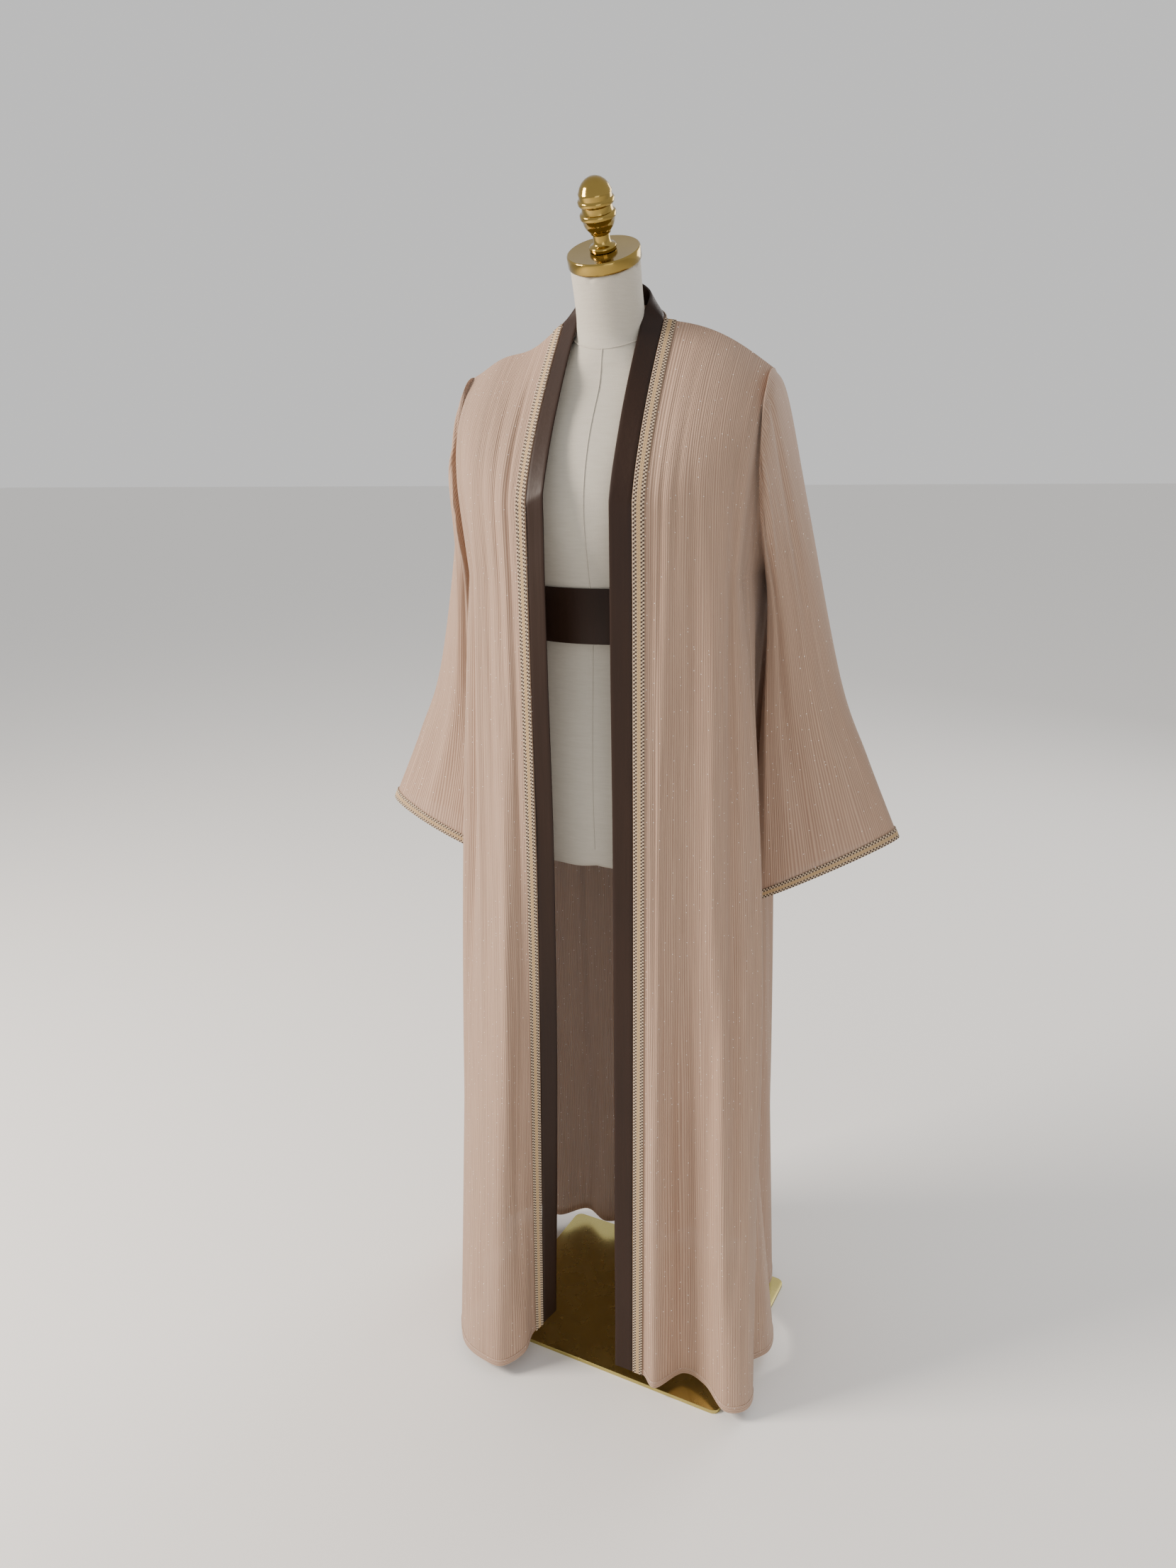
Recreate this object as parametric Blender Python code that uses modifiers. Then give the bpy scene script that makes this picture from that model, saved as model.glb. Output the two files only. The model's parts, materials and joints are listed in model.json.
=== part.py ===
"""Open-front abaya cloak with its belt, hanging on a limbless dress form.

Frame: metres, +Z up, the wearer faces -Y and the wearer's left is +X. The origin is on
the floor, straight under the middle of the torso.

The cloth hangs in drape lines. Each line starts on a seam (shoulder, armhole or back
neck), passes the underarm level and the hip level, and ends at the hem. A table gives
one row for each line, and the lines between the rows are interpolated. Each half of the
cloak has its own table, because its folds fall differently.
"""
import math
from collections import namedtuple

import bmesh
import bpy
from mathutils import Vector

# ---- driving sizes, in metres ----
CLOTH = 0.0016           # wall of the chiffon panels and sleeves
BAND = 0.0024            # folded satin band
BRAID = 0.0012           # cross-stitch braid
SEAM = 0.00036           # clearance between pieces that are sewn together
BAND_LIFT = 0.0010       # clearance where the band turns up round the neck
NECK_LIFT = 0.0012       # how far the braid stands off the back neck
DRAPE_STEP = 0.02        # drape lines, and share of a line, between points that give a slope
FALL_STEP = 0.01
SHOULDER_OUT = (0.35, 0.0, 1.0)                # the way out of the cloth along the shoulder

CHEST_Z = 1.19           # underarm level, where the body closes into one ring
STRAIGHT = 0.30          # how far up from there the cloth stands upright before it turns in
HIP_Z = 0.80             # level where the sides hang in behind the sleeves
SHOULDER_NECK = (0.0660, 0.010, 1.4965)
SHOULDER_TIP = (0.2005, 0.030, 1.437)
BACK_NECK = (0.053, 1.520)                     # y and z of the centre back neck
ARMHOLE_HALF = 0.120     # half the height of the armhole
ARMHOLE_BACK = 0.082     # its reach behind the tip

BAND_WIDTH = 0.0275
BRAID_WIDTH = 0.0155
BAND_SETTLES = 0.10      # share of the front edge over which the band turns flat
# The way across the band and the way out of it: at the centre back neck, at the side of
# the neck, and where the front edge leaves the shoulder.
BACK_ACROSS, BACK_OUT = (0.0, -0.22, 1.0), (0.0, 1.0, 0.22)
SIDE_ACROSS, SIDE_OUT = (-0.60, -0.05, 0.85), (0.80, 0.10, 0.80)
FRONT_ACROSS = (-0.86, -0.10, 0.50)
BELT_TOP, BELT_BOTTOM = 1.178, 1.108
BELT_WALL, BELT_EASE = 0.0022, 0.0012

BODY_ROWS = 17           # cells from seam to hem
ROW_CROWDING = 1.35      # how much closer together they are near the seam
SPLIT = 2                # cells between two drape lines
SLEEVE_CELLS = 20        # cells round a sleeve
SLEEVE_ROWS = 12         # cells from armhole to cuff braid

# ---- drape lines ----
# seam: where the line starts; at: x on the shoulder or neck, or degrees round the armhole
# bend: how late the line turns over the shoulder
Line = namedtuple("Line", "seam at bend chest_x chest_y hip_x hip_y hem_x hem_y hem_z")

Shoulder = namedtuple("Shoulder", "arch dip front")
# arch: rise of the seam above a straight line; dip: its sag beside the neck; front: how far
# the armhole reaches forward from the tip
LEFT_SHOULDER = Shoulder(0.013, 0.0, 0.086)
RIGHT_SHOULDER = Shoulder(-0.003, 0.005, 0.070)
DIP_SHARE = 2.6             # makes the deepest part of the sag equal to dip

LEFT_LINES = [
    Line("shoulder", 0.0660, 1.35, 0.0665, -0.1455, 0.066, -0.147, 0.062, -0.150, 0.024),
    Line("shoulder", 0.0820, 1.40, 0.0820, -0.1430, 0.082, -0.147, 0.080, -0.151, 0.022),
    Line("shoulder", 0.1030, 1.60, 0.1000, -0.1380, 0.100, -0.146, 0.101, -0.167, 0.020),
    Line("shoulder", 0.1260, 1.85, 0.1240, -0.1280, 0.125, -0.126, 0.134, -0.128, 0.020),
    Line("shoulder", 0.1500, 2.10, 0.1480, -0.1150, 0.152, -0.121, 0.170, -0.140, 0.020),
    Line("shoulder", 0.1750, 2.40, 0.1720, -0.0980, 0.180, -0.112, 0.205, -0.176, 0.018),
    Line("armhole", 0, 2.60, 0.1820, -0.0820, 0.204, -0.092, 0.235, -0.166, 0.018),
    Line("armhole", 60, 1.40, 0.1850, -0.0620, 0.2165, -0.062, 0.240, -0.134, 0.020),
    Line("armhole", 105, 1.30, 0.1880, -0.0350, 0.210, -0.028, 0.213, -0.096, 0.022),
    Line("armhole", 145, 1.20, 0.1920, -0.0020, 0.186, 0.004, 0.250, -0.050, 0.022),
    Line("armhole", 180, 1.00, 0.1970, 0.0300, 0.165, 0.034, 0.246, 0.004, 0.022),
    Line("armhole", 215, 1.20, 0.1985, 0.0560, 0.178, 0.066, 0.214, 0.052, 0.022),
    Line("armhole", 255, 1.30, 0.1960, 0.0860, 0.200, 0.092, 0.229, 0.104, 0.020),
    Line("armhole", 300, 1.40, 0.1880, 0.1080, 0.196, 0.120, 0.219, 0.152, 0.020),
    Line("armhole", 360, 2.70, 0.1720, 0.1210, 0.182, 0.134, 0.196, 0.150, 0.022),
    Line("shoulder", 0.1600, 2.50, 0.1450, 0.1300, 0.150, 0.146, 0.160, 0.190, 0.020),
    Line("shoulder", 0.1150, 2.30, 0.1080, 0.1350, 0.110, 0.147, 0.116, 0.160, 0.022),
    Line("neck", 0.0660, 2.10, 0.0660, 0.1380, 0.072, 0.154, 0.074, 0.198, 0.020),
    Line("neck", 0.0400, 2.00, 0.0370, 0.1400, 0.037, 0.150, 0.038, 0.164, 0.022),
    Line("neck", 0.0000, 1.95, 0.0000, 0.1410, 0.000, 0.156, 0.000, 0.200, 0.020),
]
RIGHT_LINES = [
    Line("shoulder", 0.0660, 1.35, 0.0665, -0.1455, 0.066, -0.147, 0.092, -0.114, 0.040),
    Line("shoulder", 0.0820, 1.40, 0.0820, -0.1430, 0.082, -0.148, 0.104, -0.130, 0.031),
    Line("shoulder", 0.1030, 1.60, 0.0980, -0.1390, 0.098, -0.150, 0.106, -0.162, 0.023),
    Line("shoulder", 0.1260, 1.85, 0.1200, -0.1300, 0.122, -0.146, 0.130, -0.193, 0.020),
    Line("shoulder", 0.1500, 2.10, 0.1400, -0.1180, 0.148, -0.128, 0.161, -0.190, 0.020),
    Line("shoulder", 0.1750, 2.40, 0.1580, -0.1020, 0.170, -0.108, 0.194, -0.174, 0.020),
    Line("armhole", 0, 2.60, 0.1680, -0.0840, 0.188, -0.090, 0.215, -0.148, 0.020),
    Line("armhole", 60, 1.40, 0.1710, -0.0620, 0.201, -0.064, 0.228, -0.112, 0.022),
    Line("armhole", 105, 1.30, 0.1780, -0.0340, 0.200, -0.030, 0.214, -0.070, 0.022),
    Line("armhole", 145, 1.20, 0.1870, -0.0020, 0.184, 0.004, 0.240, -0.024, 0.022),
    Line("armhole", 180, 1.00, 0.1970, 0.0300, 0.165, 0.034, 0.248, 0.020, 0.022),
    Line("armhole", 215, 1.20, 0.1985, 0.0560, 0.178, 0.066, 0.228, 0.062, 0.020),
    Line("armhole", 255, 1.30, 0.1960, 0.0860, 0.200, 0.094, 0.252, 0.112, 0.020),
    Line("armhole", 300, 1.40, 0.1880, 0.1080, 0.198, 0.120, 0.228, 0.150, 0.022),
    Line("armhole", 360, 2.70, 0.1720, 0.1210, 0.182, 0.136, 0.200, 0.178, 0.020),
    Line("shoulder", 0.1600, 2.50, 0.1450, 0.1300, 0.150, 0.142, 0.160, 0.158, 0.022),
    Line("shoulder", 0.1150, 2.30, 0.1080, 0.1350, 0.110, 0.150, 0.118, 0.192, 0.020),
    Line("neck", 0.0660, 2.10, 0.0660, 0.1380, 0.072, 0.150, 0.076, 0.166, 0.022),
    Line("neck", 0.0400, 2.00, 0.0370, 0.1400, 0.037, 0.152, 0.038, 0.186, 0.020),
    Line("neck", 0.0000, 1.95, 0.0000, 0.1410, 0.000, 0.156, 0.000, 0.200, 0.020),
]
SIDE_ROW, NECK_ROW = 10, 17      # rows at the side seam and at the side of the neck

# One row for each section of a sleeve, from the cap to the cuff: the outer fold, the
# underarm seam, and how far the cloth stands to the front and back between them.
Section = namedtuple("Section", "out_x out_y out_z in_x in_y in_z front back")
LEFT_SLEEVE = [
    Section(0.2170, 0.035, 1.404, 0.2035, 0.030, 1.176, 0.087, 0.080),
    Section(0.2480, 0.046, 1.264, 0.2040, 0.030, 1.112, 0.056, 0.068),
    Section(0.2980, 0.056, 1.044, 0.1960, 0.032, 0.960, 0.034, 0.060),
    Section(0.3380, 0.066, 0.936, 0.1930, 0.034, 0.836, 0.026, 0.056),
    Section(0.3850, 0.074, 0.822, 0.1900, 0.036, 0.722, 0.022, 0.056),
]
RIGHT_SLEEVE = [
    Section(0.2120, 0.035, 1.404, 0.2035, 0.030, 1.176, 0.077, 0.080),
    Section(0.2340, 0.046, 1.264, 0.2040, 0.030, 1.120, 0.046, 0.068),
    Section(0.2820, 0.056, 1.044, 0.1960, 0.032, 0.978, 0.030, 0.060),
    Section(0.3280, 0.066, 0.936, 0.1930, 0.034, 0.862, 0.024, 0.056),
    Section(0.3830, 0.074, 0.822, 0.1900, 0.036, 0.752, 0.030, 0.050),
]

# ---- dress form ----
# One row for each level of the torso: half width, front, back, and its rise to the back.
Level = namedtuple("Level", "z half front back rise")
TORSO = [
    Level(0.800, 0.142, -0.094, 0.100, 0.00),
    Level(0.815, 0.150, -0.100, 0.108, 0.00),
    Level(0.870, 0.160, -0.104, 0.120, 0.00),
    Level(0.935, 0.163, -0.106, 0.124, 0.00),
    Level(1.010, 0.148, -0.102, 0.108, 0.00),
    Level(1.068, 0.129, -0.096, 0.090, 0.00),
    Level(1.108, 0.120, -0.094, 0.081, 0.00),
    Level(1.143, 0.118, -0.097, 0.079, 0.00),
    Level(1.178, 0.120, -0.103, 0.081, 0.00),
    Level(1.230, 0.131, -0.119, 0.091, 0.00),
    Level(1.275, 0.146, -0.128, 0.100, 0.00),
    Level(1.320, 0.161, -0.119, 0.104, 0.00),
    Level(1.360, 0.174, -0.099, 0.100, 0.00),
    Level(1.390, 0.180, -0.077, 0.090, 0.02),
    Level(1.410, 0.174, -0.063, 0.077, 0.08),
    Level(1.425, 0.158, -0.054, 0.066, 0.16),
    Level(1.438, 0.136, -0.049, 0.059, 0.24),
    Level(1.448, 0.106, -0.046, 0.053, 0.30),
    Level(1.458, 0.080, -0.044, 0.052, 0.36),
    Level(1.468, 0.058, -0.042, 0.051, 0.36),
]
TORSO_CELLS = 32
NECK_FOOT = (0.008, 1.482)      # y and z of the neck's axis where it leaves the shoulders
NECK_HEAD = (-0.021, 1.561)     # and under the cap
NECK_RADIUS = 0.0430
NECK_LEAN = math.radians(20)
Swell = namedtuple("Swell", "share more")       # share of the neck's height, and added radius
NECK = [Swell(0.0, 0.0035), Swell(0.2, 0.0), Swell(0.5, -0.0004), Swell(0.8, 0.0),
        Swell(1.0, 0.0006)]
CAP_LEAN = math.radians(29)
CAP_RADIUS, CAP_THICK, CAP_BEVEL = 0.0452, 0.0150, 0.0016
POLE = (0.018, 0.012)           # x and y of the pole
POLE_RADIUS = 0.0125
POLE_TOP = 0.7995
PLATE_SIZE, PLATE_THICK, PLATE_CORNER = (0.390, 0.302), 0.006, 0.012
PLATE_CENTRE = (0.0295, 0.0115)
PLATE_TURN = math.radians(-10)

# The finial's profile: height above the cap and radius.
Turn = namedtuple("Turn", "height radius")
FINIAL = [
    Turn(0.0000, 0.0163), Turn(0.0047, 0.0168), Turn(0.0065, 0.0147), Turn(0.0079, 0.0108),
    Turn(0.0186, 0.0103), Turn(0.0226, 0.0145), Turn(0.0300, 0.0185), Turn(0.0356, 0.0196),
    Turn(0.0373, 0.0218), Turn(0.0416, 0.0218), Turn(0.0432, 0.0192), Turn(0.0497, 0.0187),
    Turn(0.0525, 0.0218), Turn(0.0567, 0.0221), Turn(0.0588, 0.0206), Turn(0.0672, 0.0188),
    Turn(0.0751, 0.0138), Turn(0.0793, 0.0068), Turn(0.0805, 0.0),
]

# The collar's profile, above the plate.
COLLAR = [
    Turn(0.0, 0.0), Turn(0.0, 0.026), Turn(0.004, 0.026), Turn(0.006, 0.022),
    Turn(0.008, 0.0175), Turn(0.018, 0.0165), Turn(0.018, 0.0),
]

LINEN = ("linen", (0.72, 0.68, 0.60), 0.9, 0.0)
CHIFFON = ("chiffon", (0.56, 0.42, 0.36), 0.8, 0.0)
SATIN = ("brown_satin", (0.07, 0.035, 0.028), 0.35, 0.0)
CROSS_STITCH = ("cross_stitch_braid", (0.62, 0.50, 0.38), 0.85, 0.0)
GOLD = ("polished_gold", (0.83, 0.62, 0.16), 0.12, 1.0)


# ---- helpers ----
def clear_scene():
    for obj in list(bpy.data.objects):
        bpy.data.objects.remove(obj, do_unlink=True)


def material(spec):
    name, colour, roughness, metallic = spec
    mat = bpy.data.materials.get(name)
    if mat is None:
        mat = bpy.data.materials.new(name)
        mat.use_nodes = True
        shader = mat.node_tree.nodes["Principled BSDF"]
        shader.inputs["Base Color"].default_value = (*colour, 1.0)
        shader.inputs["Roughness"].default_value = roughness
        shader.inputs["Metallic"].default_value = metallic
    return mat


def add_object(name, bm, spec, collection):
    bmesh.ops.recalc_face_normals(bm, faces=bm.faces[:])
    mesh = bpy.data.meshes.new(name)
    bm.to_mesh(mesh)
    bm.free()
    obj = bpy.data.objects.new(name, mesh)
    mesh.materials.append(material(spec))
    mesh.shade_smooth()
    mesh.set_sharp_from_angle(angle=math.radians(40))
    collection.objects.link(obj)
    return obj


def spline(values, t):
    """Catmull-Rom curve through vectors at 0, 1, 2 ..."""
    last = len(values) - 1
    i = min(int(t), last - 1)
    f = t - i
    p1, p2 = values[i], values[i + 1]
    p0 = values[i - 1] if i > 0 else p1 + (p1 - p2)
    p3 = values[i + 2] if i + 2 <= last else p2 + (p2 - p1)
    return 0.5 * (2 * p1 + (p2 - p0) * f + (2 * p0 - 5 * p1 + 4 * p2 - p3) * f * f
                  + (3 * p1 - p0 - 3 * p2 + p3) * f * f * f)


def mix(a, b, f):
    return a + (b - a) * f


def wall(name, outer, normals, thickness, spec, collection, closed=False):
    """A closed wall: a grid of outer points, and the same grid moved in along the normals."""
    bm = bmesh.new()
    inner = [[p - n * thickness for p, n in zip(row, line)] for row, line in zip(outer, normals)]
    faces = [[[bm.verts.new(p) for p in row] for row in grid] for grid in (outer, inner)]
    rows, columns = len(outer), len(outer[0])
    spans = columns if closed else columns - 1
    for grid in faces:
        for r in range(rows - 1):
            for c in range(spans):
                d = (c + 1) % columns
                bm.faces.new((grid[r][c], grid[r][d], grid[r + 1][d], grid[r + 1][c]))
    top, under = faces
    for r in (0, rows - 1):
        for c in range(spans):
            d = (c + 1) % columns
            bm.faces.new((top[r][c], top[r][d], under[r][d], under[r][c]))
    if not closed:
        for c in (0, columns - 1):
            for r in range(rows - 1):
                bm.faces.new((top[r][c], top[r + 1][c], under[r + 1][c], under[r][c]))
    return add_object(name, bm, spec, collection)


# ---- the cloak's body ----
def shoulder(x, shape):
    """The shoulder seam at x, from the neck point to the tip."""
    neck, tip = Vector(SHOULDER_NECK), Vector(SHOULDER_TIP)
    f = (x - neck.x) / (tip.x - neck.x)
    point = mix(neck, tip, f)
    f = min(max(f, 0.0), 1.0)
    arc = math.sin(math.pi * f)
    point.z += shape.arch * arc - shape.dip * DIP_SHARE * arc * arc * math.cos(math.pi * f)
    return point


def armhole(degrees, shape):
    """The armhole seam: 0 at the shoulder tip, 90 at the front, 180 under the arm."""
    tip = Vector(SHOULDER_TIP)
    angle = math.radians(degrees)
    reach = shape.front if degrees <= 180 else ARMHOLE_BACK
    return Vector((tip.x, tip.y - reach * math.sin(angle),
                   tip.z - ARMHOLE_HALF * (1 - math.cos(angle))))


def back_neck(x):
    """The back neck seam at x, a quarter ellipse from the neck point to the centre back."""
    neck = Vector(SHOULDER_NECK)
    across = min(x / neck.x, 1.0)
    rise = math.sqrt(1 - across * across)
    return Vector((x, mix(neck.y, BACK_NECK[0], rise), mix(neck.z, BACK_NECK[1], rise)))


class Half:
    """One half of the cloak's body, at +X. The other half is mirrored afterwards."""

    def __init__(self, lines, shape):
        self.lines = lines
        self.shape = shape
        self.chest = [Vector((l.chest_x, l.chest_y)) for l in lines]
        self.hip = [Vector((l.hip_x, l.hip_y)) for l in lines]
        self.hem = [Vector((l.hem_x, l.hem_y)) for l in lines]
        self.hem_z = [Vector((l.hem_z, l.bend)) for l in lines]

    def seam(self, s):
        """The seam point where drape line s starts, with s counted in table rows."""
        i = min(int(s), len(self.lines) - 2)
        a, b = self.lines[i], self.lines[i + 1]
        if a.seam == "neck":
            return back_neck(mix(a.at, b.at, s - i))
        if a.seam == b.seam == "armhole":
            return armhole(mix(a.at, b.at, s - i), self.shape)
        start = SHOULDER_TIP[0] if a.seam == "armhole" else a.at
        end = SHOULDER_TIP[0] if b.seam == "armhole" else b.at
        return shoulder(mix(start, end, s - i), self.shape)

    def point(self, s, t):
        """Drape line s at t, from 0 on its seam to 1 on the hem."""
        start = self.seam(s)
        hem_z, bend = spline(self.hem_z, s)
        z = mix(start.z, hem_z, t)
        chest = spline(self.chest, s)
        if z >= CHEST_Z:
            f = (z - CHEST_Z) / max(start.z - CHEST_Z, 1e-6)
            turned = max((f - STRAIGHT) / (1 - STRAIGHT), 0.0) ** bend
            return Vector((mix(chest.x, start.x, f), mix(chest.y, start.y, turned), z))
        levels = [chest, spline(self.hip, s), spline(self.hem, s)]
        if z >= HIP_Z:
            at = (CHEST_Z - z) / (CHEST_Z - HIP_Z)
        else:
            at = 1 + (HIP_Z - z) / (HIP_Z - hem_z)
        plan = self.fall(levels, at)
        return Vector((plan.x, plan.y, z))

    @staticmethod
    def fall(levels, at):
        """A smooth line down through the chest, hip and hem levels at 0, 1 and 2."""
        chest, hip, hem = levels
        upper, lower = CHEST_Z - HIP_Z, HIP_Z
        slope = 0.5 * ((hip - chest) / upper + (hem - hip) / lower)
        if at <= 1:
            bow = slope * upper - (hip - chest)
            return chest + (hip - chest) * at + bow * (at * at * at - at * at)
        f = at - 1
        return hip + (hem - hip) * f + (slope * lower - (hem - hip)) * f * (1 - f) * (1 - f)

    def normal(self, s, t):
        """Outward normal of the cloth. Along a seam it is the one both pieces share."""
        if t <= 0:
            i = min(int(s), len(self.lines) - 2)
            if self.lines[i].seam == self.lines[i + 1].seam == "armhole":
                start, centre = self.seam(s), armhole(0, self.shape)
                centre.z -= ARMHOLE_HALF
                return Vector((0.0, start.y - centre.y, start.z - centre.z)).normalized()
            if s <= NECK_ROW:
                return Vector(SHOULDER_OUT).normalized()
        last = len(self.lines) - 1
        across = self.point(min(s + DRAPE_STEP, last), t) - self.point(max(s - DRAPE_STEP, 0), t)
        down = self.point(s, min(t + FALL_STEP, 1)) - self.point(s, max(t - FALL_STEP, 0))
        normal = down.cross(across).normalized()
        if s >= last:
            normal.x = 0
        return normal.normalized()


def levels():
    """Where the rows of a panel lie along its drape lines, closer together near the seam."""
    return [(r / BODY_ROWS) ** ROW_CROWDING for r in range(BODY_ROWS + 1)]


def columns(first, last):
    count = (last - first) * SPLIT
    return [first + c / SPLIT for c in range(count + 1)]


def mirrored(points, side):
    return [[Vector((p.x * side, p.y, p.z)) for p in row] for row in points]


def panel_grid(half, first, last):
    """The cloth between two table rows, moved clear of its neighbours along the seams."""
    points, normals = [], []
    stations = columns(first, last)
    for t in levels():
        row, line = [], []
        for s in stations:
            p, n = half.point(s, t), half.normal(s, t)
            if s in (first, last):
                other = half.point(s + (DRAPE_STEP if s == first else -DRAPE_STEP), t)
                p += (other - p).normalized() * SEAM / 2
            if t == 0:
                p += (half.point(s, FALL_STEP) - p).normalized() * SEAM / 2
            row.append(p)
            line.append(n)
        points.append(row)
        normals.append(line)
    return points, normals


def build_fronts(halves, collection):
    for side, name, half in halves:
        points, normals = panel_grid(half, 0, SIDE_ROW)
        wall("front_" + name, mirrored(points, side), mirrored(normals, side), CLOTH,
             CHIFFON, collection)


def build_back(halves, collection):
    grids = []
    for side, name, half in halves:
        points, normals = panel_grid(half, SIDE_ROW, len(half.lines) - 1)
        for row, line, t in zip(points, normals, levels()):
            row[-1] = half.point(len(half.lines) - 1, t)
            row[-1].z -= SEAM / 2 if t == 0 else 0.0
        grids.append((mirrored(points, side), mirrored(normals, side)))
    (left, left_n), (right, right_n) = grids
    points = [a[:-1] + b[::-1] for a, b in zip(left, right)]
    normals = [a[:-1] + b[::-1] for a, b in zip(left_n, right_n)]
    wall("back_panel", points, normals, CLOTH, CHIFFON, collection)


# ---- band and braid ----
def edge_stations(half):
    """Points along the neck and front edge: the seam, the way across the band, the way out."""
    last = len(half.lines) - 1
    stations = []
    neck_rows = columns(NECK_ROW, last)[::-1]
    for s in neck_rows:
        seam = half.seam(s)
        around = (last - s) / (last - NECK_ROW)
        across = mix(Vector(BACK_ACROSS), Vector(SIDE_ACROSS), around).normalized()
        out = mix(Vector(BACK_OUT), Vector(SIDE_OUT), around).normalized()
        stations.append((seam, across, out))
    for t in levels()[1:]:
        seam = half.point(0, t)
        settle = min(t / BAND_SETTLES, 1.0)
        flat = (half.point(0, t) - half.point(1, t)).normalized()
        across = mix(Vector(FRONT_ACROSS), flat, settle).normalized()
        stations.append((seam, across, half.normal(0, t)))
    return stations


def build_bands(halves, collection):
    for side, name, half in halves:
        points, normals = [], []
        neck_count = len(columns(NECK_ROW, len(half.lines) - 1))
        for index, (seam, across, out) in enumerate(edge_stations(half)):
            lift = SEAM / 2 if index > neck_count else BAND_LIFT
            start = seam + across * lift + out * (BAND - CLOTH) / 2
            row = [start + across * BAND_WIDTH * f for f in (0.0, 0.5, 1.0)]
            if index == 0:
                for p in row:
                    p.x = SEAM / 2
            points.append(row)
            normals.append([out - across * out.dot(across)] * 3)
        wall("band_" + name, mirrored(points, side), mirrored(normals, side), BAND,
             SATIN, collection)


def build_trims(halves, collection):
    for side, name, half in halves:
        last = len(half.lines) - 1
        points, normals = [], []
        for s in columns(NECK_ROW, last)[::-1]:
            depth = BRAID_WIDTH / half.seam(s).z
            upper, lower = half.point(s, 0.0), half.point(s, depth)
            out = half.normal(s, depth / 2)
            row = (upper, (upper + lower) / 2, lower)
            points.append([p + out * (BRAID + NECK_LIFT) for p in row])
            normals.append([out] * 3)
        for t in levels():
            row = [half.point(s, t) for s in columns(0, 1)]
            line = [half.normal(s, t) for s in columns(0, 1)]
            row[0] += (row[1] - row[0]).normalized() * SEAM
            points.append([p + n * (BRAID + SEAM) for p, n in zip(row, line)])
            normals.append(line)
        for p in points[0]:
            p.x = SEAM / 2
        wall("trim_" + name, mirrored(points, side), mirrored(normals, side), BRAID,
             CROSS_STITCH, collection)


# ---- sleeves ----
def sleeve_ring(values, angle):
    """One point of a sleeve section: 0 at the outer fold, half a turn at the underarm."""
    outer, inner = Vector(values[0:3]), Vector(values[3:6])
    front, back = values[6], values[7]
    centre = (outer + inner) / 2
    half = (outer - inner) / 2
    reach = front if angle <= math.pi else back
    point = centre + half * math.cos(angle)
    point.y -= reach * math.sin(angle)
    return point


def sleeve_values(sections, shape):
    tip = SHOULDER_TIP
    armhole_row = (*tip, tip[0], tip[1], tip[2] - 2 * ARMHOLE_HALF, shape.front, ARMHOLE_BACK)
    return [Vector(armhole_row)] + [Vector(section) for section in sections]


def sleeve_point(values, angle, t):
    return sleeve_ring(spline(values, t * (len(values) - 1)), angle)


def sleeve_normal(values, angle, t):
    before = sleeve_point(values, (angle - DRAPE_STEP) % math.tau, t)
    after = sleeve_point(values, angle + DRAPE_STEP, t)
    above = sleeve_point(values, angle, max(t - FALL_STEP, 0))
    below = sleeve_point(values, angle, min(t + FALL_STEP, 1))
    return (after - before).cross(below - above).normalized()


def sleeve_grid(values, stations):
    points, normals = [], []
    for t in stations:
        row, line = [], []
        for c in range(SLEEVE_CELLS):
            angle = math.tau * c / SLEEVE_CELLS
            p, n = sleeve_point(values, angle, t), sleeve_normal(values, angle, t)
            if t <= 0:
                p.x += SEAM
                n = Vector((0.0, n.y, n.z)).normalized()
            row.append(p)
            line.append(n)
        points.append(row)
        normals.append(line)
    return points, normals


def cuff_start(values):
    """How far along the sleeve its cuff braid starts."""
    last_tenth = (sleeve_point(values, 0.0, 1.0) - sleeve_point(values, 0.0, 0.9)).length
    return 1 - 0.1 * BRAID_WIDTH / last_tenth


def build_sleeves(collection):
    for side, name, sections, shape in ((1, "left", LEFT_SLEEVE, LEFT_SHOULDER),
                                        (-1, "right", RIGHT_SLEEVE, RIGHT_SHOULDER)):
        values = sleeve_values(sections, shape)
        braid_at = cuff_start(values)
        stations = [braid_at * r / SLEEVE_ROWS for r in range(SLEEVE_ROWS + 1)] + [1.0]
        points, normals = sleeve_grid(values, stations)
        wall("sleeve_" + name, mirrored(points, side), mirrored(normals, side), CLOTH,
             CHIFFON, collection, closed=True)
        points, normals = sleeve_grid(values, (braid_at, 1.0))
        lifted = [[p + n * (BRAID + SEAM) for p, n in zip(row, line)]
                  for row, line in zip(points, normals)]
        wall("cuff_trim_" + name, mirrored(lifted, side), mirrored(normals, side), BRAID,
             CROSS_STITCH, collection, closed=True)


# ---- dress form and belt ----
def torso_ring(level, grow=0.0):
    """A section of the torso. The upper ones rise to the back, up to the slope of the neck."""
    ring = []
    for c in range(TORSO_CELLS):
        angle = 2 * math.pi * c / TORSO_CELLS
        centre = (level.front + level.back) / 2
        reach = (level.back - level.front) / 2 + grow
        ahead = reach * math.cos(angle)
        ring.append(Vector(((level.half + grow) * math.sin(angle), centre - ahead,
                            level.z - ahead * level.rise)))
    return ring


def leaning_ring(y, z, radius, lean):
    """A round section of the neck, square to an axis that leans to the front."""
    ring = []
    for c in range(TORSO_CELLS):
        angle = 2 * math.pi * c / TORSO_CELLS
        ahead = radius * math.cos(angle)
        ring.append(Vector((radius * math.sin(angle), y - ahead * math.cos(lean),
                            z - ahead * math.sin(lean))))
    return ring


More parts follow.
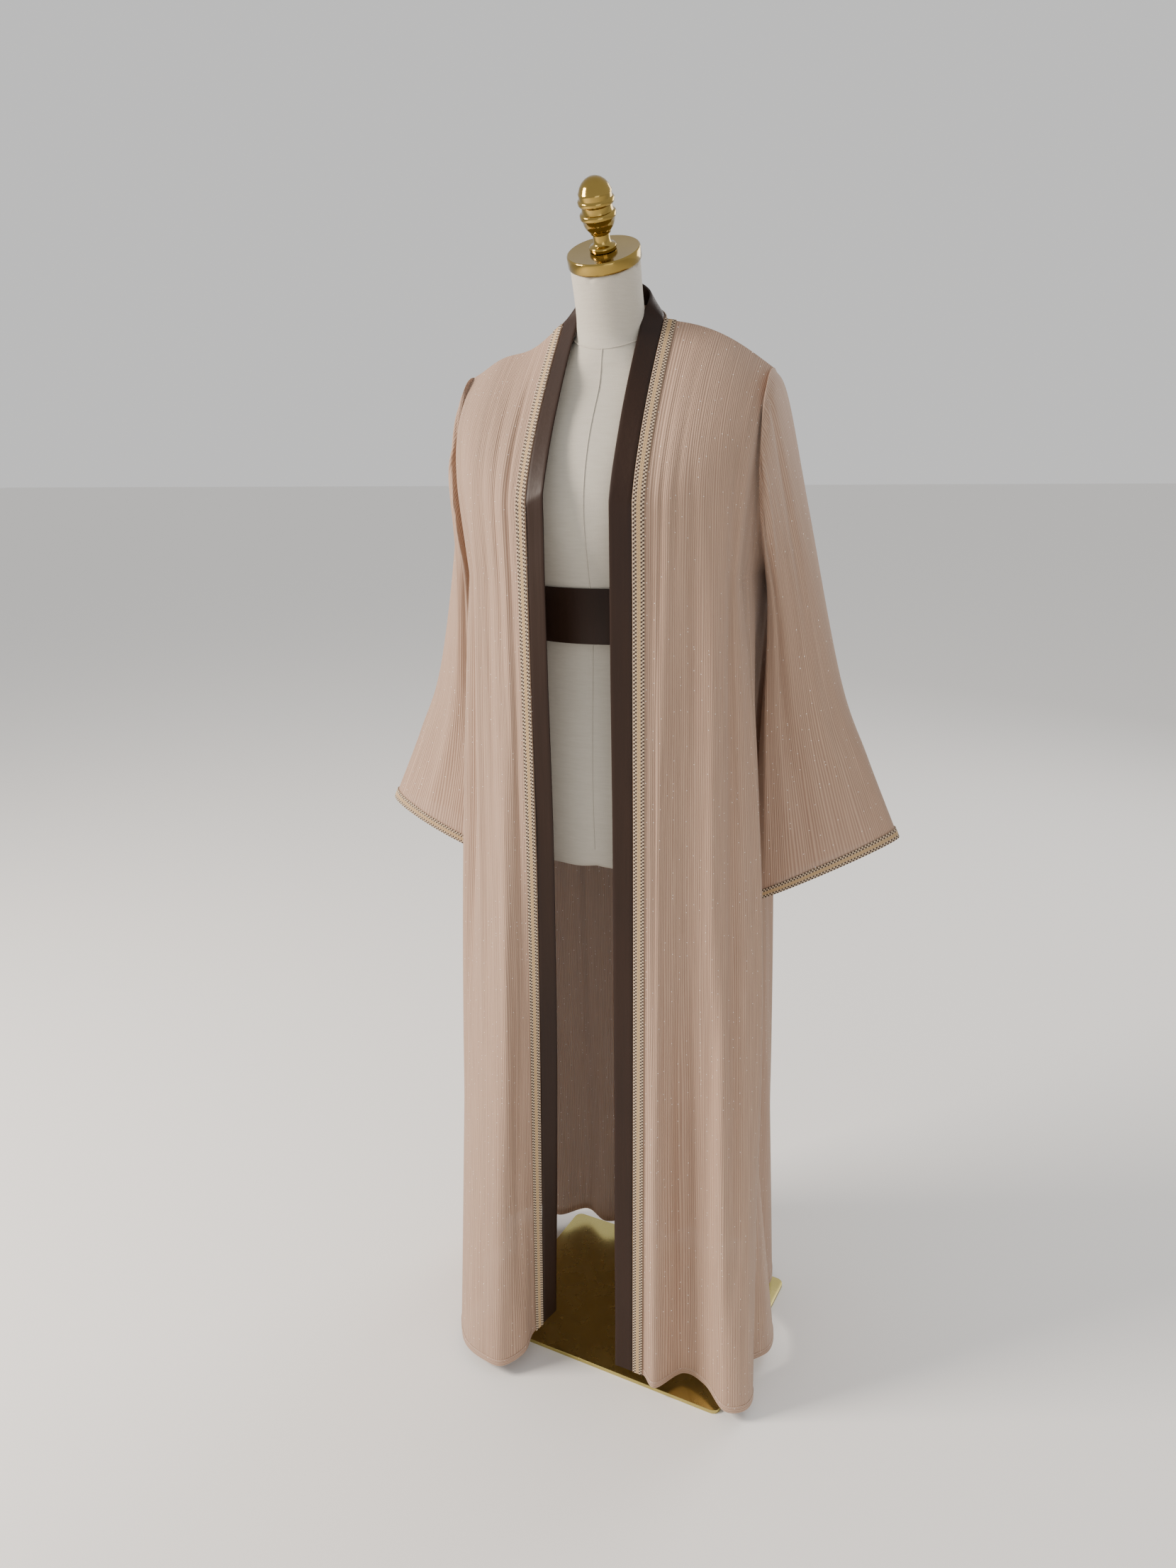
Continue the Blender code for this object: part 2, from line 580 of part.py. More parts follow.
def loft(name, rings, spec, collection):
    bm = bmesh.new()
    loops = [[bm.verts.new(p) for p in ring] for ring in rings]
    count = len(loops[0])
    for low, high in zip(loops, loops[1:]):
        for c in range(count):
            d = (c + 1) % count
            bm.faces.new((low[c], low[d], high[d], high[c]))
    bm.faces.new(loops[0][::-1])
    bm.faces.new(loops[-1])
    return add_object(name, bm, spec, collection)


def build_torso(collection):
    rings = [torso_ring(level) for level in TORSO]
    foot, head = Vector(NECK_FOOT), Vector(NECK_HEAD)
    for share, more in NECK:
        y, z = mix(foot, head, share)
        rings.append(leaning_ring(y, z, NECK_RADIUS + more, mix(NECK_LEAN, CAP_LEAN, share)))
    return loft("form_torso", rings, LINEN, collection)


def build_belt(collection):
    rings = [level for level in TORSO if BELT_BOTTOM <= level.z <= BELT_TOP]
    outer = [torso_ring(level, BELT_EASE + BELT_WALL) for level in rings]
    inner = [torso_ring(level, BELT_EASE) for level in rings]
    normals = [[(a - b) / BELT_WALL for a, b in zip(o, i)] for o, i in zip(outer, inner)]
    wall("belt", outer, normals, BELT_WALL, SATIN, collection, closed=True)


def turned(name, profile, spec, collection, steps=28):
    """A profile of (height, radius), turned about Z with a Screw modifier."""
    mesh = bpy.data.meshes.new(name)
    points = [(radius, 0.0, height) for height, radius in reversed(profile)]
    mesh.from_pydata(points, [(i, i + 1) for i in range(len(points) - 1)], [])
    obj = bpy.data.objects.new(name, mesh)
    mesh.materials.append(material(spec))
    collection.objects.link(obj)
    screw = obj.modifiers.new("turn", "SCREW")
    screw.steps = screw.render_steps = steps
    screw.use_merge_vertices = True
    screw.merge_threshold = 0.00005
    screw.use_smooth_shade = True
    return obj


def build_cap_and_finial(collection):
    head = Vector((0.0, *NECK_HEAD))
    axis = Vector((0.0, -math.sin(CAP_LEAN), math.cos(CAP_LEAN)))
    profile = [(0.0, 0.0), (0.0, CAP_RADIUS - CAP_BEVEL), (CAP_BEVEL, CAP_RADIUS),
               (CAP_THICK - CAP_BEVEL, CAP_RADIUS), (CAP_THICK, CAP_RADIUS - CAP_BEVEL),
               (CAP_THICK, 0.0)]
    cap = turned("form_cap", profile, GOLD, collection, steps=40)
    cap.location = head + axis * SEAM
    cap.rotation_euler.x = CAP_LEAN
    finial = turned("form_finial", [(0.0, 0.0), *FINIAL], GOLD, collection)
    finial.location = head + axis * (CAP_THICK + 2 * SEAM)
    finial.rotation_euler.x = CAP_LEAN


def build_stand(collection):
    top = PLATE_THICK + SEAM
    collar = turned("form_collar", COLLAR, GOLD, collection)
    collar.location = (*POLE, top)
    foot = top + COLLAR[-1].height + SEAM
    length = POLE_TOP - foot
    profile = [(0.0, 0.0), (0.0, POLE_RADIUS), (length, POLE_RADIUS), (length, 0.0)]
    pole = turned("form_pole", profile, GOLD, collection)
    pole.location = (*POLE, foot)

    bpy.ops.mesh.primitive_cube_add(size=1.0, location=(*PLATE_CENTRE, PLATE_THICK / 2),
                                    rotation=(0, 0, PLATE_TURN))
    plate = bpy.context.object
    plate.name = plate.data.name = "form_plate"
    plate.scale = (*PLATE_SIZE, PLATE_THICK)
    bpy.ops.object.transform_apply(location=False, rotation=False, scale=True)
    bm = bmesh.new()
    bm.from_mesh(plate.data)
    upright = [e for e in bm.edges if abs(e.verts[0].co.z - e.verts[1].co.z) > PLATE_THICK / 2]
    bmesh.ops.bevel(bm, geom=upright, offset=PLATE_CORNER, segments=5, affect="EDGES", profile=0.5)
    bm.to_mesh(plate.data)
    bm.free()
    plate.data.materials.append(material(GOLD))
    for owner in list(plate.users_collection):
        owner.objects.unlink(plate)
    collection.objects.link(plate)


def main():
    clear_scene()
    collection = bpy.data.collections.new("abaya_cloak_on_dress_form")
    bpy.context.scene.collection.children.link(collection)
    halves = [(1, "left", Half(LEFT_LINES, LEFT_SHOULDER)),
              (-1, "right", Half(RIGHT_LINES, RIGHT_SHOULDER))]
    build_fronts(halves, collection)
    build_back(halves, collection)
    build_bands(halves, collection)
    build_trims(halves, collection)
    build_sleeves(collection)
    build_torso(collection)
    build_belt(collection)
    build_cap_and_finial(collection)
    build_stand(collection)


main()
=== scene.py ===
import json
import math
from collections import namedtuple

import bpy
import numpy as np
from mathutils import Matrix, Vector

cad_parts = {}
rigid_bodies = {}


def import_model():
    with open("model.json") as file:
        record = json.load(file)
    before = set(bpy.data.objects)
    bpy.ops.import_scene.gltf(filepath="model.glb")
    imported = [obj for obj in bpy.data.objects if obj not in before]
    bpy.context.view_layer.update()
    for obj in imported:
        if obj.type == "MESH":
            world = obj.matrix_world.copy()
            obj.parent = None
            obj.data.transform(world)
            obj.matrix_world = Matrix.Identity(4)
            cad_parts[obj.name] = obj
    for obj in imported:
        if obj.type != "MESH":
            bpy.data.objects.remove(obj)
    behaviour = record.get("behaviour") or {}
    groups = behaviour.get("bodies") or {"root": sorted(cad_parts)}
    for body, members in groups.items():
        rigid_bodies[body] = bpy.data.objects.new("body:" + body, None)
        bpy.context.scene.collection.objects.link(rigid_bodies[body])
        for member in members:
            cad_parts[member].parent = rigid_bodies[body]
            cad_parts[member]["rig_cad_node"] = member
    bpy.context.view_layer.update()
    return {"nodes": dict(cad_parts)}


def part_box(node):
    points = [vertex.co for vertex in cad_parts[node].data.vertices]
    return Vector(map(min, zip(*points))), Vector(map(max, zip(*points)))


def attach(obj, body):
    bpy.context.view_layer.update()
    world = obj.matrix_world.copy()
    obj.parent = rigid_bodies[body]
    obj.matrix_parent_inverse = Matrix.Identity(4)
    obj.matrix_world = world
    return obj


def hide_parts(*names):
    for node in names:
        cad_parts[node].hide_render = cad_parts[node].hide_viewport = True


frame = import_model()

bpy.ops.object.select_all(action="DESELECT")

# ---- base plate ----
# A flat steel plate with rounded corners, plated in polished gold. It carries the pole and
# with it the whole form. Its edges are broken by a fine bevel that catches the light.


class Signal:
    """One output of a material's node. Sums with it add Math nodes to the same material."""

    def __init__(self, finish, socket):
        self.finish, self.socket = finish, socket

    def maths(self, operation, first, second):
        return self.finish.node("Math", {"operation": operation}, {0: first, 1: second})

    def __add__(self, other):
        return self.maths("ADD", self, other)

    def __sub__(self, other):
        return self.maths("SUBTRACT", self, other)

    def __rsub__(self, other):
        return self.maths("SUBTRACT", other, self)

    def __mul__(self, other):
        return self.maths("MULTIPLY", self, other)

    def __lt__(self, other):
        return self.maths("LESS_THAN", self, other)

    def __gt__(self, other):
        return self.maths("GREATER_THAN", self, other)

    __radd__ = __add__
    __rmul__ = __mul__


class Finish:
    """A material being made up. node() adds one node and gives back one of its outputs."""

    def __init__(self, name, **constants):
        self.material = bpy.data.materials.new(name)
        self.material.use_nodes = True
        self.tree = self.material.node_tree
        self.shader = self.tree.nodes["Principled BSDF"]
        self.surface(**constants)

    def node(self, kind, settings=None, sockets=None, output=0):
        made = self.tree.nodes.new("ShaderNode" + kind)
        for key, value in (settings or {}).items():
            setattr(made, key, value)
        self.join(made, sockets or {})
        return Signal(self, made.outputs[output])

    def join(self, made, sockets):
        for key, value in sockets.items():
            if isinstance(value, Signal):
                self.tree.links.new(value.socket, made.inputs[key])
            else:
                made.inputs[key].default_value = value

    def surface(self, **sockets):
        self.join(self.shader, {key.replace("_", " "): value for key, value in sockets.items()})

    def blend(self, factor, first, second):
        """One colour fading into another."""
        return self.node("Mix", {"data_type": "RGBA"}, {0: factor, 6: first, 7: second}, output=2)

    def noise(self, place, stretch, detail=2.0):
        """Soft noise, with so many features to the metre along each axis."""
        scaled = self.node("Mapping", {}, {"Vector": place, "Scale": stretch})
        return self.node("TexNoise", {}, {"Vector": scaled, "Scale": 1.0, "Detail": detail})

    def relief(self, height, depth):
        """Fine relief: height runs from 0 to 1 and depth is in metres."""
        return self.node("Bump", {}, {"Strength": 1.0, "Distance": depth, "Height": height})


def dye(red, green, blue):
    """A colour as its swatch is read, from 0 to 255."""
    linear = [((c / 255 + 0.055) / 1.055) ** 2.4 for c in (red, green, blue)]
    return (*linear, 1.0)


def polished_gold(name, dark, light, rough):
    gold = Finish(name, Metallic=1.0)
    place = gold.node("TexCoord", output=3)
    haze = gold.noise(place, (30, 30, 30), detail=4)
    hairlines = gold.noise(place, (900, 60, 900))
    gold.surface(Base_Color=gold.blend(haze, dark, light),
                 Roughness=haze * 0.10 + rough, Normal=gold.relief(hairlines, 0.00001))
    return gold.material


GOLD = polished_gold("polished_gold", dye(142, 118, 60), dye(172, 146, 80), 0.07)
PLATE_GOLD = polished_gold("plate_gold", dye(178, 164, 98), dye(196, 182, 116), 0.22)
PLATE_BEVEL = 0.0009


def complete(piece, finish, smooth=math.radians(38)):
    """Gives a finished piece its material and its place on the one rigid body."""
    piece.data.materials.clear()
    piece.data.materials.append(finish)
    select_only(piece)
    bpy.ops.object.shade_smooth_by_angle(angle=smooth)
    bpy.ops.object.select_all(action="DESELECT")
    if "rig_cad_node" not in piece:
        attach(piece, "root")
    return piece


def select_only(piece):
    bpy.ops.object.select_all(action="DESELECT")
    piece.select_set(True)
    bpy.context.view_layer.objects.active = piece


def modify(piece, kind, **settings):
    """Adds one modifier and applies it."""
    select_only(piece)
    modifier = piece.modifiers.new(kind.lower(), kind)
    for key, value in settings.items():
        setattr(modifier, key, value)
    bpy.ops.object.modifier_apply(modifier=modifier.name)


def linked(name, mesh):
    """A new piece in the scene, made from a mesh."""
    piece = bpy.data.objects.new(name, mesh)
    bpy.context.scene.collection.objects.link(piece)
    return piece


def edit_whole(piece):
    """Opens a piece in edit mode with all of it selected."""
    select_only(piece)
    bpy.ops.object.mode_set(mode="EDIT")
    bpy.ops.mesh.select_all(action="SELECT")


def merged_copy(node, name):
    """A copy of a CAD node's mesh, merged into whole faces so that it can be worked on."""
    piece = linked(name, frame["nodes"][node].data.copy())
    select_only(piece)
    bpy.ops.mesh.customdata_custom_splitnormals_clear()
    edit_whole(piece)
    bpy.ops.mesh.remove_doubles(threshold=0.00001)
    bpy.ops.mesh.tris_convert_to_quads()
    bpy.ops.object.mode_set(mode="OBJECT")
    return piece


plate = merged_copy("form_plate", "base_plate")
modify(plate, "BEVEL", width=PLATE_BEVEL, segments=3, limit_method="ANGLE", angle_limit=math.radians(40))
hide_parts("form_plate")
complete(plate, PLATE_GOLD)

# ---- pole and its collar ----
# A gold-plated steel tube in a stepped collar that is screwed to the plate. It runs up
# inside the skirt to the underside of the torso.


def face_outwards(piece):
    """Turns every face of a closed piece outwards."""
    edit_whole(piece)
    bpy.ops.mesh.normals_make_consistent(inside=False)
    bpy.ops.object.mode_set(mode="OBJECT")


def turned(name, profile, steps=72):
    """A turned piece: a disc whose rim is drawn up through the profile's heights and radii."""
    height, radius = profile[0]
    bpy.ops.mesh.primitive_circle_add(vertices=steps, radius=radius, fill_type="NGON",
                                      location=(0, 0, height))
    piece = bpy.context.object
    piece.name = piece.data.name = name
    edit_whole(piece)
    for next_height, next_radius in profile[1:]:
        bpy.ops.mesh.extrude_region_move(TRANSFORM_OT_translate={"value": (0, 0, next_height - height)})
        bpy.ops.transform.resize(value=(next_radius / radius, next_radius / radius, 1))
        height, radius = next_height, next_radius
    bpy.ops.object.mode_set(mode="OBJECT")
    face_outwards(piece)
    return piece


def settle(piece, place, lean=0.0):
    """Moves a turned piece to its place, leaning forward, and leaves its origin at zero."""
    piece.data.transform(Matrix.Translation(piece.location))
    piece.matrix_world = Matrix.Identity(4)
    piece.data.transform(Matrix.Translation(place) @ Matrix.Rotation(lean, 4, "X"))


pole_low, pole_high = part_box("form_pole")
pole_radius = (pole_high.x - pole_low.x) / 2
axis_x, axis_y = (pole_low.x + pole_high.x) / 2, (pole_low.y + pole_high.y) / 2
pole_length = pole_high.z - pole_low.z
pole = turned("pole", [(0, pole_radius - 0.001), (0.001, pole_radius), (pole_length * 0.5, pole_radius),
                       (pole_length - 0.001, pole_radius), (pole_length, pole_radius - 0.001)])
settle(pole, (axis_x, axis_y, pole_low.z))
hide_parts("form_pole")
complete(pole, GOLD)

collar_low, collar_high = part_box("form_collar")
flange = (collar_high.x - collar_low.x) / 2
collar = turned("pole_collar", [
    (0, flange - 0.0006), (0.0006, flange), (0.0034, flange), (0.0042, flange - 0.0012),
    (0.0056, flange - 0.0040), (0.0070, flange - 0.0076), (0.0086, flange - 0.0090),
    (0.0168, flange - 0.0094), (0.0176, flange - 0.0100), (0.0180, flange - 0.0112)])
settle(collar, (axis_x, axis_y, collar_low.z))
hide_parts("form_collar")
complete(collar, GOLD)

# ---- torso ----
# A padded torso covered in off-white linen. The cover has a seam round the base of the
# neck and one down the centre front, each a narrow corded ridge.


def linen_cloth():
    linen = Finish("linen", Sheen_Weight=0.15)
    place = linen.node("TexCoord", output=3)
    slub = linen.noise(place, (55, 55, 420), detail=3)
    warp = linen.noise(place, (1500, 1500, 90))
    weft = linen.noise(place, (120, 120, 1500))
    threads = warp * 0.5 + weft * 0.5
    tone = linen.blend(slub, dye(186, 179, 165), dye(203, 197, 184))
    linen.surface(Base_Color=linen.blend(threads * 0.35, tone, dye(168, 160, 146)),
                  Roughness=threads * 0.1 + 0.82, Normal=linen.relief(threads, 0.0004))
    return linen.material


LINEN = linen_cloth()
SEAM_CORD = 0.0008          # radius of the corded seams

torso = merged_copy("form_torso", "torso")
modify(torso, "SUBSURF", levels=2, render_levels=2)
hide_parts("form_torso")
complete(torso, LINEN, smooth=math.radians(60))


def cord_along(name, points, radius):
    """A round cord through a list of points, closed at its ends."""
    bpy.ops.curve.primitive_bezier_curve_add()
    piece = bpy.context.object
    piece.name = piece.data.name = name
    piece.data.splines.clear()
    spline = piece.data.splines.new("POLY")
    spline.points.add(len(points) - 1)
    for point, place in zip(spline.points, points):
        point.co = (*place, 1.0)
    piece.data.bevel_depth = radius
    piece.data.bevel_resolution = 2
    piece.data.use_fill_caps = True
    bpy.ops.object.convert(target="MESH")
    modify(piece, "WELD", merge_threshold=0.00002)
    return piece


def on_torso(start, towards):
    """The point of the torso's surface that a line from start meets."""
    hit, place, normal, _ = torso.ray_cast(start, (Vector(towards) - Vector(start)).normalized())
    return place + normal * SEAM_CORD * 0.3 if hit else None


NECK_SEAM_FRONT, NECK_SEAM_SIDE = 1.462, 1.478
ring = []
for step in range(73):
    turn = math.tau * step / 72
    aim = Vector((0, 0.0, NECK_SEAM_SIDE - (NECK_SEAM_SIDE - NECK_SEAM_FRONT) * math.cos(turn)))
    ring.append(on_torso(aim + Vector((0.3 * math.sin(turn), -0.3 * math.cos(turn), 0)), aim))
front_seam = [on_torso((0, -0.4, z), (0, 0, z)) for z in np.linspace(NECK_SEAM_FRONT, 0.83, 60)]
for name, points in (("neck_seam", ring), ("centre_front_seam", front_seam)):
    complete(cord_along(name, [p for p in points if p], SEAM_CORD), LINEN, math.radians(60))

# ---- neck cap and finial ----
# A thick turned disc and a two-ball finial, both gold-plated. They are screwed to the top
# of the neck and lean forward with it.

CAP_LEAN = math.radians(29)
CAP_THICK = 0.0150
FINIAL_GAP = 0.0004
cap_low, cap_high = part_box("form_cap")
cap_centre = (cap_low + cap_high) / 2
cap_axis = Vector((0, -math.sin(CAP_LEAN), math.cos(CAP_LEAN)))
cap_radius = (cap_high.x - cap_low.x) / 2
cap = turned("neck_cap", [
    (0.0, cap_radius - 0.0016), (0.0008, cap_radius - 0.0004), (0.0018, cap_radius),
    (CAP_THICK - 0.0018, cap_radius), (CAP_THICK - 0.0008, cap_radius - 0.0004),
    (CAP_THICK, cap_radius - 0.0016), (CAP_THICK - 0.0002, cap_radius - 0.0040)], steps=120)
settle(cap, cap_centre - cap_axis * CAP_THICK / 2, CAP_LEAN)
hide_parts("form_cap")
complete(cap, GOLD)

FINIAL = [      # height above the cap and radius
    (0.0000, 0.0160), (0.0030, 0.0167), (0.0046, 0.0165), (0.0056, 0.0150), (0.0066, 0.0118),
    (0.0086, 0.0106), (0.0130, 0.0102), (0.0176, 0.0104), (0.0188, 0.0122), (0.0200, 0.0124),
    (0.0210, 0.0112), (0.0226, 0.0144), (0.0262, 0.0172), (0.0306, 0.0190), (0.0350, 0.0196),
    (0.0362, 0.0214), (0.0374, 0.0219), (0.0408, 0.0219), (0.0420, 0.0212), (0.0430, 0.0192),
    (0.0462, 0.0186), (0.0496, 0.0187), (0.0510, 0.0210), (0.0524, 0.0219), (0.0556, 0.0221),
    (0.0568, 0.0214), (0.0578, 0.0200), (0.0620, 0.0199), (0.0640, 0.0202), (0.0650, 0.0194),
    (0.0700, 0.0174), (0.0742, 0.0142), (0.0776, 0.0098), (0.0796, 0.0050), (0.0800, 0.0012)]
finial_height = (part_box("form_finial")[1].z - cap_centre.z) / math.cos(CAP_LEAN) - CAP_THICK / 2
grow = finial_height / FINIAL[-1][0] * 0.985
finial = turned("finial", [(height * grow, radius) for height, radius in FINIAL], steps=96)
settle(finial, cap_centre + cap_axis * (CAP_THICK / 2 + FINIAL_GAP), CAP_LEAN)
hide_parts("form_finial")
complete(finial, GOLD, smooth=math.radians(50))

# ---- belt ----
# A plain belt of brown satin, folded and turned in at both edges; its row of stitching just above
# the lower edge is not built. It is fastened round the waist of the form, under the cloak.


def brown_satin():
    satin = Finish("brown_satin", Specular_IOR_Level=0.22)
    place = satin.node("TexCoord", output=3)
    floats = satin.noise(place, (260, 260, 14), detail=3)
    bloom = satin.noise(place, (9, 9, 5))
    tone = satin.blend(bloom, dye(28, 17, 11), dye(44, 27, 17))
    satin.surface(Base_Color=satin.blend(floats * 0.3, tone, dye(56, 35, 26)),
                  Roughness=floats * 0.12 + 0.44, Normal=satin.relief(floats, 0.0002))
    return satin.material


SATIN = brown_satin()
BELT_WALL = 0.0020
BELT_ROWS, BELT_COLUMNS = 20, 160
Crease = namedtuple("Crease", "turn low high slant width depth")
BELT_CREASES = [        # turn in degrees from the centre front to the wearer's left
    Crease(-27, 0.00, 0.90, 2.0, 2.6, -0.0009), Crease(-12, 0.20, 1.00, -1.5, 3.4, 0.0006),
    Crease(24, 0.00, 0.70, 2.5, 3.0, -0.0007), Crease(58, 0.10, 1.00, -3.0, 3.5, -0.0009),
    Crease(96, 0.00, 0.80, 3.0, 4.5, 0.0007), Crease(139, 0.15, 1.00, -2.5, 4.0, -0.0008),
    Crease(187, 0.00, 0.75, 2.0, 3.5, -0.0006), Crease(228, 0.20, 1.00, -3.5, 4.5, 0.0008),
    Crease(271, 0.00, 0.85, 2.0, 3.2, -0.0008), Crease(309, 0.10, 1.00, -2.0, 3.0, -0.0007)]

belt_low, belt_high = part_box("belt")
belt_height = belt_high.z - belt_low.z
bpy.ops.mesh.primitive_cylinder_add(vertices=BELT_COLUMNS, radius=1, depth=1, end_fill_type="NOTHING")
belt = bpy.context.object
belt.name = belt.data.name = "belt_satin"
edit_whole(belt)
bpy.ops.mesh.subdivide_edgering(number_cuts=BELT_ROWS - 1)
bpy.ops.object.mode_set(mode="OBJECT")
WAIST_PULL = 0.0021         # how far the belt draws in halfway up
middle_y = (belt_low.y + belt_high.y) / 2
for vertex in belt.data.vertices:
    up = vertex.co.z + 0.5
    turn = math.degrees(math.atan2(vertex.co.x, -vertex.co.y))
    out = -WAIST_PULL * math.sin(math.pi * up)
    for crease in BELT_CREASES:
        away = (turn - crease.turn - crease.slant * up + 180) % 360 - 180
        if crease.low < up < crease.high:
            along = math.sin(math.pi * (up - crease.low) / (crease.high - crease.low))
            out += crease.depth * along * math.exp(-(away / crease.width) ** 2)
    vertex.co = (vertex.co.x * (belt_high.x + out),
                 middle_y + vertex.co.y * ((belt_high.y - belt_low.y) / 2 + out),
                 belt_low.z + belt_height * up)
modify(belt, "SOLIDIFY", thickness=BELT_WALL, offset=-1)
modify(belt, "BEVEL", width=0.0006, segments=2, limit_method="ANGLE", angle_limit=math.radians(50))
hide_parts("belt")
complete(belt, SATIN, smooth=math.radians(50))

# ---- body of the cloak ----
# Two fronts and one back, cut from sheer dusty-pink crinkled chiffon with glitter in it. They
# hang from the shoulder seams and the back neck, and fall into uneven flutes at the hem.
# Each drape line starts on a seam and passes the chest and hip levels down to the hem.

CHEST_Z, STRAIGHT, HIP_Z = 1.19, 0.30, 0.80
SHOULDER_NECK = Vector((0.0660, 0.010, 1.4965))
SHOULDER_TIP = Vector((0.2005, 0.030, 1.437))
BACK_NECK = (0.053, 1.520)  # depth and height of the centre back of the neck
ARMHOLE_HALF, ARMHOLE_BACK = 0.120, 0.082
Shoulder = namedtuple("Shoulder", "arch dip front")
LEFT_SHOULDER, RIGHT_SHOULDER = Shoulder(0.013, 0.0, 0.086), Shoulder(-0.003, 0.005, 0.070)
DIP_SHARE = 2.6
Start = namedtuple("Start", "seam at bend")
STARTS = [              # where each drape line leaves its seam, and how fast it turns down
    Start("shoulder", 0.0660, 1.35), Start("shoulder", 0.0820, 1.40), Start("shoulder", 0.1030, 1.60),
    Start("shoulder", 0.1260, 1.85), Start("shoulder", 0.1500, 2.10), Start("shoulder", 0.1750, 2.40),
    Start("armhole", 0, 2.60), Start("armhole", 60, 1.40), Start("armhole", 105, 1.30),
    Start("armhole", 145, 1.20), Start("armhole", 180, 1.00), Start("armhole", 215, 1.20),
    Start("armhole", 255, 1.30), Start("armhole", 300, 1.40), Start("armhole", 360, 2.70),
    Start("shoulder", 0.1600, 2.50), Start("shoulder", 0.1150, 2.30), Start("neck", 0.0660, 2.10),
    Start("neck", 0.0400, 2.00), Start("neck", 0.0000, 1.95)]
Fall = namedtuple("Fall", "chest_x chest_y hip_x hip_y hem_x hem_y hem_z")
LEFT_FALLS = [          # where the same lines pass the chest and the hip, and where they end
    Fall(0.0665, -0.1455, 0.066, -0.147, 0.062, -0.150, 0.024),
    Fall(0.0820, -0.1430, 0.082, -0.147, 0.080, -0.151, 0.022),
    Fall(0.1000, -0.1380, 0.100, -0.146, 0.101, -0.167, 0.020),
    Fall(0.1240, -0.1280, 0.125, -0.126, 0.134, -0.128, 0.020),
    Fall(0.1480, -0.1150, 0.152, -0.121, 0.170, -0.140, 0.020),
    Fall(0.1720, -0.0980, 0.180, -0.112, 0.205, -0.176, 0.018),
    Fall(0.1820, -0.0820, 0.204, -0.092, 0.235, -0.166, 0.018),
    Fall(0.1850, -0.0620, 0.2165, -0.062, 0.240, -0.134, 0.020),
    Fall(0.1880, -0.0350, 0.210, -0.028, 0.213, -0.096, 0.022),
    Fall(0.1920, -0.0020, 0.186, 0.004, 0.250, -0.050, 0.022),
    Fall(0.1970, 0.0300, 0.165, 0.034, 0.246, 0.004, 0.022),
    Fall(0.1985, 0.0560, 0.178, 0.066, 0.214, 0.052, 0.022),
    Fall(0.1960, 0.0860, 0.200, 0.092, 0.229, 0.104, 0.020),
    Fall(0.1880, 0.1080, 0.196, 0.120, 0.219, 0.152, 0.020),
    Fall(0.1720, 0.1210, 0.182, 0.134, 0.196, 0.150, 0.022),
    Fall(0.1450, 0.1300, 0.150, 0.146, 0.160, 0.190, 0.020),
    Fall(0.1080, 0.1350, 0.110, 0.147, 0.116, 0.160, 0.022),
    Fall(0.0660, 0.1380, 0.072, 0.154, 0.074, 0.198, 0.020),
    Fall(0.0370, 0.1400, 0.037, 0.150, 0.038, 0.164, 0.022),
    Fall(0.0000, 0.1410, 0.000, 0.156, 0.000, 0.200, 0.020),
]
RIGHT_FALLS = [
    Fall(0.0665, -0.1455, 0.066, -0.147, 0.092, -0.114, 0.040),
    Fall(0.0820, -0.1430, 0.082, -0.148, 0.104, -0.130, 0.031),
    Fall(0.0980, -0.1390, 0.098, -0.150, 0.106, -0.162, 0.023),
    Fall(0.1200, -0.1300, 0.122, -0.146, 0.130, -0.193, 0.020),
    Fall(0.1400, -0.1180, 0.148, -0.128, 0.161, -0.190, 0.020),
    Fall(0.1580, -0.1020, 0.170, -0.108, 0.194, -0.174, 0.020),
    Fall(0.1680, -0.0840, 0.188, -0.090, 0.215, -0.148, 0.020),
    Fall(0.1710, -0.0620, 0.201, -0.064, 0.228, -0.112, 0.022),
    Fall(0.1780, -0.0340, 0.200, -0.030, 0.214, -0.070, 0.022),
    Fall(0.1870, -0.0020, 0.184, 0.004, 0.240, -0.024, 0.022),
    Fall(0.1970, 0.0300, 0.165, 0.034, 0.248, 0.020, 0.022),
    Fall(0.1985, 0.0560, 0.178, 0.066, 0.228, 0.062, 0.020),
    Fall(0.1960, 0.0860, 0.200, 0.094, 0.252, 0.112, 0.020),
    Fall(0.1880, 0.1080, 0.198, 0.120, 0.228, 0.150, 0.022),
    Fall(0.1720, 0.1210, 0.182, 0.136, 0.200, 0.178, 0.020),
    Fall(0.1450, 0.1300, 0.150, 0.142, 0.160, 0.158, 0.022),
    Fall(0.1080, 0.1350, 0.110, 0.150, 0.118, 0.192, 0.020),
    Fall(0.0660, 0.1380, 0.072, 0.150, 0.076, 0.166, 0.022),
    Fall(0.0370, 0.1400, 0.037, 0.152, 0.038, 0.186, 0.020),
    Fall(0.0000, 0.1410, 0.000, 0.156, 0.000, 0.200, 0.020),
]
SIDE, CENTRE_BACK, EDGE = 10, 19, 38        # drape lines at the side seam, back and far edge
NECK_LINE = 17

